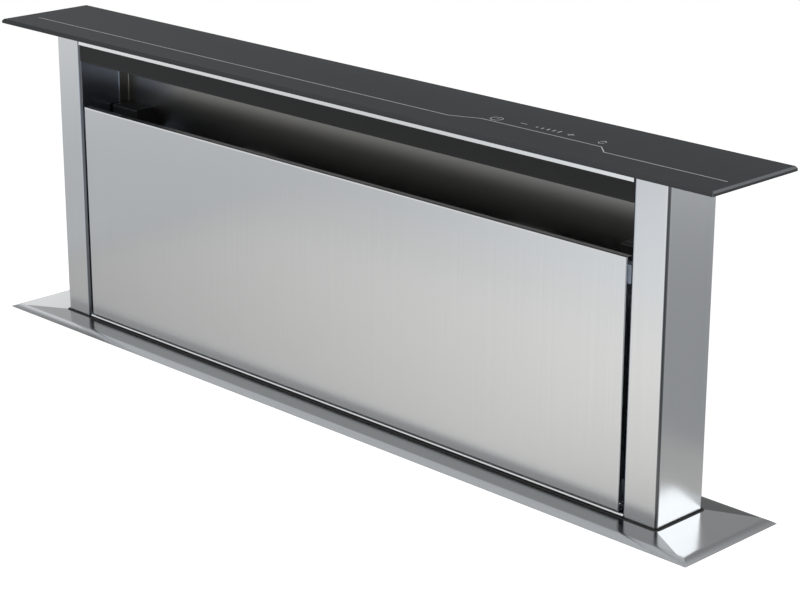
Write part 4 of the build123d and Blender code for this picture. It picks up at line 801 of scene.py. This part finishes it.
# ----------------------------------------------------------- worktop flange
@dataclass
class WorktopFlange:
    """Mitred steel frame on the worktop and the rubber edging round its opening."""

    length: float = 875.0
    depth: float = 117.0
    middle: float = -2.5            # y of the frame's middle
    corner: float = 0.4
    top: float = 3.0
    slope: Triple = (11.0, 11.0, 6.0)       # width of the crowned slope at ends, front and back
    slope_steps: int = 9
    hem: Span = (0.02, 0.12)        # shares of the slope at which the underside turns in
    edge: float = 0.25              # thickness left at the outer edge
    sheet: float = 1.0
    collar: float = -12.0           # foot of the down-turned collar
    tower: Span = (764.4, 59.1)
    tower_middle: float = 0.85
    bend: float = 3.0
    clearance: float = 1.4
    play: float = 0.5               # lip to tower
    reach: float = 2.7              # lip's outer foot from the tower
    lip: float = 0.35               # lip over the frame
    lip_foot: float = -2.0
    lip_edge: float = 0.1           # height of the lip's outer edge
    soft: float = 0.15              # its rounding

    def around(self, share: float, z: float) -> np.ndarray:
        """Outline of the frame, drawn in by a share of the slope, at a height."""
        ends, front, back = (share * width for width in self.slope)
        ring = outline(self.length - 2 * ends, self.depth - front - back, self.corner)
        return raised(ring + np.array([0.0, self.middle + (front - back) / 2]), z)

    def opening(self, play: float, z: float) -> np.ndarray:
        """Outline of the tower, let out by the play, at a height."""
        ring = outline(self.tower[0] + 2 * play, self.tower[1] + 2 * play, self.bend + play)
        return raised(ring + np.array([0.0, self.tower_middle]), z)

    def frame(self) -> None:
        """Flat top, crowned slope, turned-under edge and collar.

        The slope's height is the edge plus the rest times the sine of a quarter turn's share,
        so it leaves the edge steeply and meets the flat top without a crease.
        """
        share = np.linspace(1.0, 0.0, self.slope_steps)
        rise = self.edge + (self.top - self.edge) * np.sin(share * math.pi / 2)
        under, wall = self.top - self.sheet, self.clearance + self.sheet
        rings = [self.opening(self.clearance, self.collar), self.opening(self.clearance, self.top)]
        rings += [self.around(s, z) for s, z in zip(share, rise)]
        rings += [self.around(s, 0.0) for s in self.hem]
        rings += [self.around(1.0, under), self.opening(wall, under), self.opening(wall, self.collar)]
        Piece(
            "flange_frame", "chassis", STEEL_FRAME, "brushed_steel", ("worktop_flange",), crease=24.0
        ).place([wrap(np.stack(rings))])

    def edging(self) -> None:
        """Rubber lip pressed over the rim of the opening."""
        soft, high = self.soft, self.top + self.lip
        profile = [
            (self.play, self.lip_foot), (self.play, high - soft), (self.play + soft, high),
            (self.reach - 2 * soft, high), (self.reach, self.top + self.lip_edge), (self.reach, self.top),
            (self.clearance, self.top), (self.clearance, self.lip_foot),
        ]
        rings = np.stack([self.opening(play, z) for play, z in profile])
        Piece("wiper_lip", "chassis", RUBBER, "rubber", crease=50.0).place([wrap(rings)])

    def build(self) -> None:
        """Make the frame and its edging."""
        self.frame()
        self.edging()


# ------------------------------------------------------------- filter cores
@dataclass
class FilterCores:
    """Two layers of expanded aluminium in each grease filter."""

    foot: Span = (-10.0, 18.0)      # y and z of the filter's middle plane
    head: Span = (22.0, 190.0)
    inner: float = 0.75             # x of the frame's inner end
    outer: float = 344.6
    border: float = 8.5             # the core reaches this near to the frame's outside
    mesh: float = 12.0              # long way of a diamond
    short: float = 6.0              # short way
    strand: float = 1.3
    sheet: float = 0.7
    tilt: float = 35.0              # strand to the sheet's plane, in degrees
    layers: tuple[tuple[float, int], ...] = ((-1.0, 0), (1.0, 1))   # depth, half diamonds along x

    def strands(self, low: float, high: float, depth: float, shift: int) -> Skin:
        """Zigzag strands that meet their neighbours at every bond.

        Strand k runs along x at height k times half the short way, and swings by a quarter
        of the short way up and down at every half of the long way, against its neighbour.
        It swings short by a fifth of its width, so that neighbours overlap at a bond.

        Args:
            low: Lowest x of the layer.
            high: Highest x.
            depth: Distance of the layer behind the middle plane.
            shift: How many half diamonds the layer is moved along x.

        Returns:
            Vertices of (n, 3) and faces.
        """
        foot, head = np.array((0.0, *self.foot)), np.array((0.0, *self.head))
        length = float(np.linalg.norm(head - foot))
        along = (head - foot) / length
        back = np.array([0.0, along[2], -along[1]])
        columns = int((high - low) // (self.mesh / 2))
        rows = int((length - 2 * self.border) // (self.short / 2)) - 1
        x = low + (high - low) * np.arange(columns + 1) / columns
        k = np.arange(rows)[:, None]
        swing = np.where((np.arange(columns + 1)[None] + k + shift) % 2, 1.0, -1.0)
        height = self.border + self.short / 2 * (k + 1) + swing * (self.short / 4 - self.strand / 5)
        lean = math.radians(self.tilt)
        wide = np.array([math.cos(lean), math.sin(lean)]) * self.strand / 2
        thin = np.array([-math.sin(lean), math.cos(lean)]) * self.sheet / 2
        corners = np.array([wide + thin, thin - wide, -wide - thin, wide - thin])
        grid = foot + along * (height[..., None, None] + corners[:, :1]) + back * (depth + corners[:, 1:])
        grid = grid + x[None, :, None, None] * np.array([1.0, 0.0, 0.0])
        base = (np.arange(rows) * (columns + 1) * 4)[:, None, None]
        here = base + (np.arange(columns) * 4)[None, :, None]
        a, b = np.arange(4), (np.arange(4) + 1) % 4
        faces = np.stack([here + a, here + 4 + a, here + 4 + b, here + b], axis=3)
        caps = base[:, :, 0] + a[None]
        both = np.concatenate([caps[:, ::-1], caps + columns * 4])
        return grid.reshape(-1, 3), faces.reshape(-1, 4).tolist() + both.tolist()

    def build(self) -> None:
        """Make the cores of both filters in place of their plain solids."""
        parts = []
        for side in (-1, 1):
            ends = sorted((side * (self.inner + self.border), side * (self.outer - self.border)))
            parts += [self.strands(*ends, depth, shift) for depth, shift in self.layers]
        Piece(
            "filter_cores", "tower", ALUMINIUM, "filter_aluminium", ("filter_meshes",), crease=20.0
        ).place(parts)


# ------------------------------------------------------------------- studio
@dataclass(frozen=True)
class Ground:
    """How metal sees a pale surface: a shaded side, and a glow that dims to the left and close by."""

    glow: Span                      # in the shade, in the open
    shade_middle: Triple            # metres
    shade_reach: Span
    dim_left: Triple                # from x, to x, share left at the first
    dim_near: Triple                # from y, to y, share left at the first
    flag: Triple                    # middle of a dark flag that draws the bends
    flag_reach: Span
    tint: str
    fade: Span                      # metres from the middle between which it turns plain white
    grey: str = "#a3a3a3"           # colour that glossy rays see in the surface: painted shade for metal to mirror


@dataclass(frozen=True)
class Flag:
    """Grey flag in the surroundings, which only metal mirrors."""

    way: Triple                     # from the object to the flag's middle
    edges: Span                     # cosines between which it sets in
    level: float                    # brightness left in it


@dataclass(frozen=True)
class SoftBox:
    """Soft rectangular lamp."""

    name: str
    place: Triple                   # its centre in metres
    aim: Triple                     # point that it faces
    size: Span                      # width and height of its face in metres
    power: float                    # watts
    colour: str

    def hang(self) -> None:
        """Put the lamp in the scene."""
        data = bpy.data.lights.new(self.name, "AREA")
        data.shape = "RECTANGLE"
        data.size, data.size_y = self.size
        data.energy = self.power
        data.color = linear(self.colour)[:3]
        lamp = bpy.data.objects.new(self.name, data)
        turn = (Vector(self.aim) - Vector(self.place)).to_track_quat("-Z", "Y")
        lamp.matrix_world = Matrix.Translation(self.place) @ turn.to_matrix().to_4x4()
        bpy.context.scene.collection.objects.link(lamp)


@dataclass
class Studio:
    """A pale worktop board around the vent, the pale floor it stands on, soft lamps and the camera."""

    azimuth: float = 0.78889        # radians
    pitch: float = 0.32254
    roll: float = 0.00242
    place: Triple = (1.39386, -1.31841, 0.73798)
    focal: float = 2251.11          # pixels in a frame 800 wide
    frame_width: int = 800
    sensor: float = 36.0
    farthest: float = 100.0
    floor_half: float = 12.0
    floor_level: float = -0.7431
    board_half: float = 0.536
    board_front: float = -0.476
    board_back: float = 0.14
    board_thickness: float = 0.038
    board_drop: float = 0.0001
    cut: Span = (0.845, 0.098)
    cut_y: float = -0.0025
    pale_colour: str = "#f1f1f0"    # floor and board
    sky: str = "#f4f6f8"
    fill: float = 0.55              # world light on rough surfaces
    top_up: Span = (0.2, 0.6)       # what a matt upright side, and a matt upper one, lack to white
    flags: tuple[Flag, ...] = (
        Flag((-0.4, 0.8, 0.45), (0.87, 0.97), 0.3),
        Flag((0.66, -0.7, 0.2), (0.87, 0.97), 0.3),
        Flag((-0.73, 0.17, 0.66), (0.978, 0.993), 0.12),
    )
    lamps: tuple[SoftBox, ...] = (
        SoftBox("key", (1.3, -1.6, 2.0), (0.1, 0.0, 0.1), (1.6, 1.3), 20.0, "#fffdf9"),
        SoftBox("rim", (1.95, 1.85, 1.0), (0.3, 0.0, 0.1), (1.1, 1.0), 5.0, "#fbfcff"),
    )
    board_ground: Ground = Ground(
        glow=(0.43, 0.88), shade_middle=(0.9, 0.5, 0.0), shade_reach=(0.52, 0.92),
        dim_left=(-0.7, 0.15, 0.44), dim_near=(0.0, -0.35, 0.58),
        flag=(0.8, -0.45, 0.0), flag_reach=(0.15, 0.45), tint="#fdfaf5", fade=(8.0, 9.0),
    )
    floor_ground: Ground = Ground(
        glow=(0.165, 0.92), shade_middle=(2.1, 1.8, 0.0), shade_reach=(1.0, 3.6),
        dim_left=(-2.5, -1.5, 0.43), dim_near=(5.0, 4.0, 1.0),
        flag=(2.2, -1.9, 0.0), flag_reach=(0.9, 2.0), tint="#f6faff", fade=(3.6, 6.0),
    )

    def camera(self) -> None:
        """Set the camera: looking down by the pitch, turned by the azimuth."""
        a, e, r = self.azimuth, self.pitch, self.roll
        forward = Vector((-math.sin(a) * math.cos(e), math.cos(a) * math.cos(e), -math.sin(e)))
        level = Vector((math.cos(a), math.sin(a), 0.0))
        up = level.cross(forward)
        right = level * math.cos(r) + up * math.sin(r)
        top = up * math.cos(r) - level * math.sin(r)
        data = bpy.data.cameras.new("camera")
        data.sensor_width = self.sensor
        data.lens = self.focal / self.frame_width * self.sensor
        data.clip_end = self.farthest
        camera = bpy.data.objects.new("camera", data)
        turn = Matrix((right, top, -forward)).transposed()
        camera.matrix_world = Matrix.Translation(self.place) @ turn.to_4x4()
        bpy.context.scene.collection.objects.link(camera)
        bpy.context.scene.camera = camera

    def floor(self) -> None:
        """Lay the floor: one square under the feet."""
        corners = raised(SQUARE * self.floor_half, self.floor_level)
        self.stand("floor", corners, [(0, 1, 2, 3)], self.pale("pale_floor", self.floor_ground))

    def board(self) -> None:
        """Lay the worktop board: a frame of four rectangular rings, its upper side at the flange's foot."""
        middle = np.array([0.0, (self.board_front + self.board_back) / 2])
        half = np.array([self.board_half, (self.board_back - self.board_front) / 2])
        outer = SQUARE * half + middle
        hole = SQUARE * np.array(self.cut) / 2 + np.array([0.0, self.cut_y])
        high, low = -self.board_drop, -self.board_thickness
        rings = [raised(outer, high), raised(hole, high), raised(hole, low), raised(outer, low)]
        self.stand("worktop_board", *wrap(np.stack(rings)), self.pale("pale_board", self.board_ground))

    def stand(self, name: str, vertices: np.ndarray, faces: list, material: bpy.types.Material) -> None:
        """Put a piece of the studio in place."""
        mesh = bpy.data.meshes.new(name)
        mesh.from_pydata(vertices.tolist(), [], faces)
        mesh.materials.append(material)
        thing = bpy.data.objects.new(name, mesh)
        bpy.context.scene.collection.objects.link(thing)

    def seen(self, tree: Tree) -> Socket:
        """One for rays that show the background: camera, gloss and transmission."""
        path = add(tree, "ShaderNodeLightPath").outputs
        gloss = reckon(tree, "MAXIMUM", path["Is Camera Ray"], path["Is Glossy Ray"])
        return reckon(tree, "MAXIMUM", gloss, path["Is Transmission Ray"])

    def pale(self, name: str, ground: Ground) -> bpy.types.Material:
        """Pale matt surface that keeps its shadows, lifted to white where it is seen.

        Args:
            name: Name of the material.
            ground: How metal sees it.

        Returns:
            The material.
        """
        material = bpy.data.materials.new(name)
        tree = cleared(material)
        seen = self.seen(tree)
        path = add(tree, "ShaderNodeLightPath").outputs
        place = add(tree, "ShaderNodeTexCoord").outputs
        level_ground = {"Vector": place["Object"], "Scale": (1.0, 1.0, 0.0)}
        flat = add(tree, "ShaderNodeMapping", level_ground).outputs[0]
        # glossy rays see the grey: painted shade in what metal mirrors
        own = blend(tree, path["Is Glossy Ray"], self.pale_colour, ground.grey)
        matt = add(tree, "ShaderNodeBsdfDiffuse", {"Color": own})
        shade = measure(tree, "DISTANCE", flat, ground.shade_middle)
        bright = ranged(tree, shade, ground.shade_reach, ground.glow, soft=True)
        dims = [
            ranged(tree, axis, (first, last), (share, 1.0))
            for axis, (first, last, share) in zip(split(tree, flat), (ground.dim_left, ground.dim_near))
        ]
        flag = measure(tree, "DISTANCE", flat, ground.flag)
        dims.append(ranged(tree, flag, ground.flag_reach, soft=True))
        for dim in dims:
            bright = reckon(tree, "MULTIPLY", bright, dim)
        top_up = ranged(tree, split(tree, place["Normal"])[2], end=self.top_up)
        lift = add(tree, "ShaderNodeMix", {0: path["Is Camera Ray"], 2: bright, 3: top_up}).outputs[0]
        tint = blend(tree, path["Is Glossy Ray"], "#ffffff", ground.tint)
        shown = {"Color": tint, "Strength": reckon(tree, "MULTIPLY", seen, lift)}
        glow = add(tree, "ShaderNodeEmission", shown)
        near = add(tree, "ShaderNodeAddShader", {0: matt.outputs[0], 1: glow.outputs[0]}).outputs[0]
        level = ranged(tree, seen, end=(self.fill, 1.0))
        far = add(tree, "ShaderNodeEmission", {"Strength": level}).outputs[0]
        turn = ranged(tree, measure(tree, "LENGTH", flat), ground.fade, soft=True)
        mixed = add(tree, "ShaderNodeMixShader", {0: turn, 1: near, 2: far})
        add(tree, "ShaderNodeOutputMaterial", {"Surface": mixed.outputs[0]})
        return material

    def world(self) -> None:
        """White surroundings to look at, with grey flags for metal, and a calmer pale grey as light."""
        world = bpy.data.worlds.new("studio")
        tree = cleared(world)
        light = add(tree, "ShaderNodeBackground", {"Color": linear(self.sky), "Strength": self.fill})
        path = add(tree, "ShaderNodeLightPath").outputs
        place = add(tree, "ShaderNodeTexCoord").outputs["Generated"]
        level = 1.0
        for flag in self.flags:
            near = measure(tree, "DOT_PRODUCT", place, Vector(flag.way).normalized())
            edge = ranged(tree, near, flag.edges, (1.0, flag.level), soft=True)
            level = reckon(tree, "MULTIPLY", level, edge)
        shown = add(tree, "ShaderNodeMix", {0: path["Is Glossy Ray"], 2: 1.0, 3: level}).outputs[0]
        white = add(tree, "ShaderNodeBackground", {"Color": linear("#ffffff"), "Strength": shown})
        mixed = add(
            tree, "ShaderNodeMixShader", {0: self.seen(tree), 1: light.outputs[0], 2: white.outputs[0]}
        )
        add(tree, "ShaderNodeOutputWorld", {"Surface": mixed.outputs[0]})
        bpy.context.scene.world = world

    def build(self) -> None:
        """Set up camera, floor, board, world and lamps."""
        self.camera()
        self.floor()
        self.board()
        self.world()
        for lamp in self.lamps:
            lamp.hang()
        bpy.context.scene.view_settings.view_transform = "Standard"


def main() -> None:
    """Build the scene in order."""
    logging.basicConfig(level=logging.INFO, format="%(message)s")
    Studio().build()
    dress_nodes()
    GlassTop().build()
    LowerSheet().build()
    WorktopFlange().build()
    FilterCores().build()


if __name__ == "__main__":
    main()
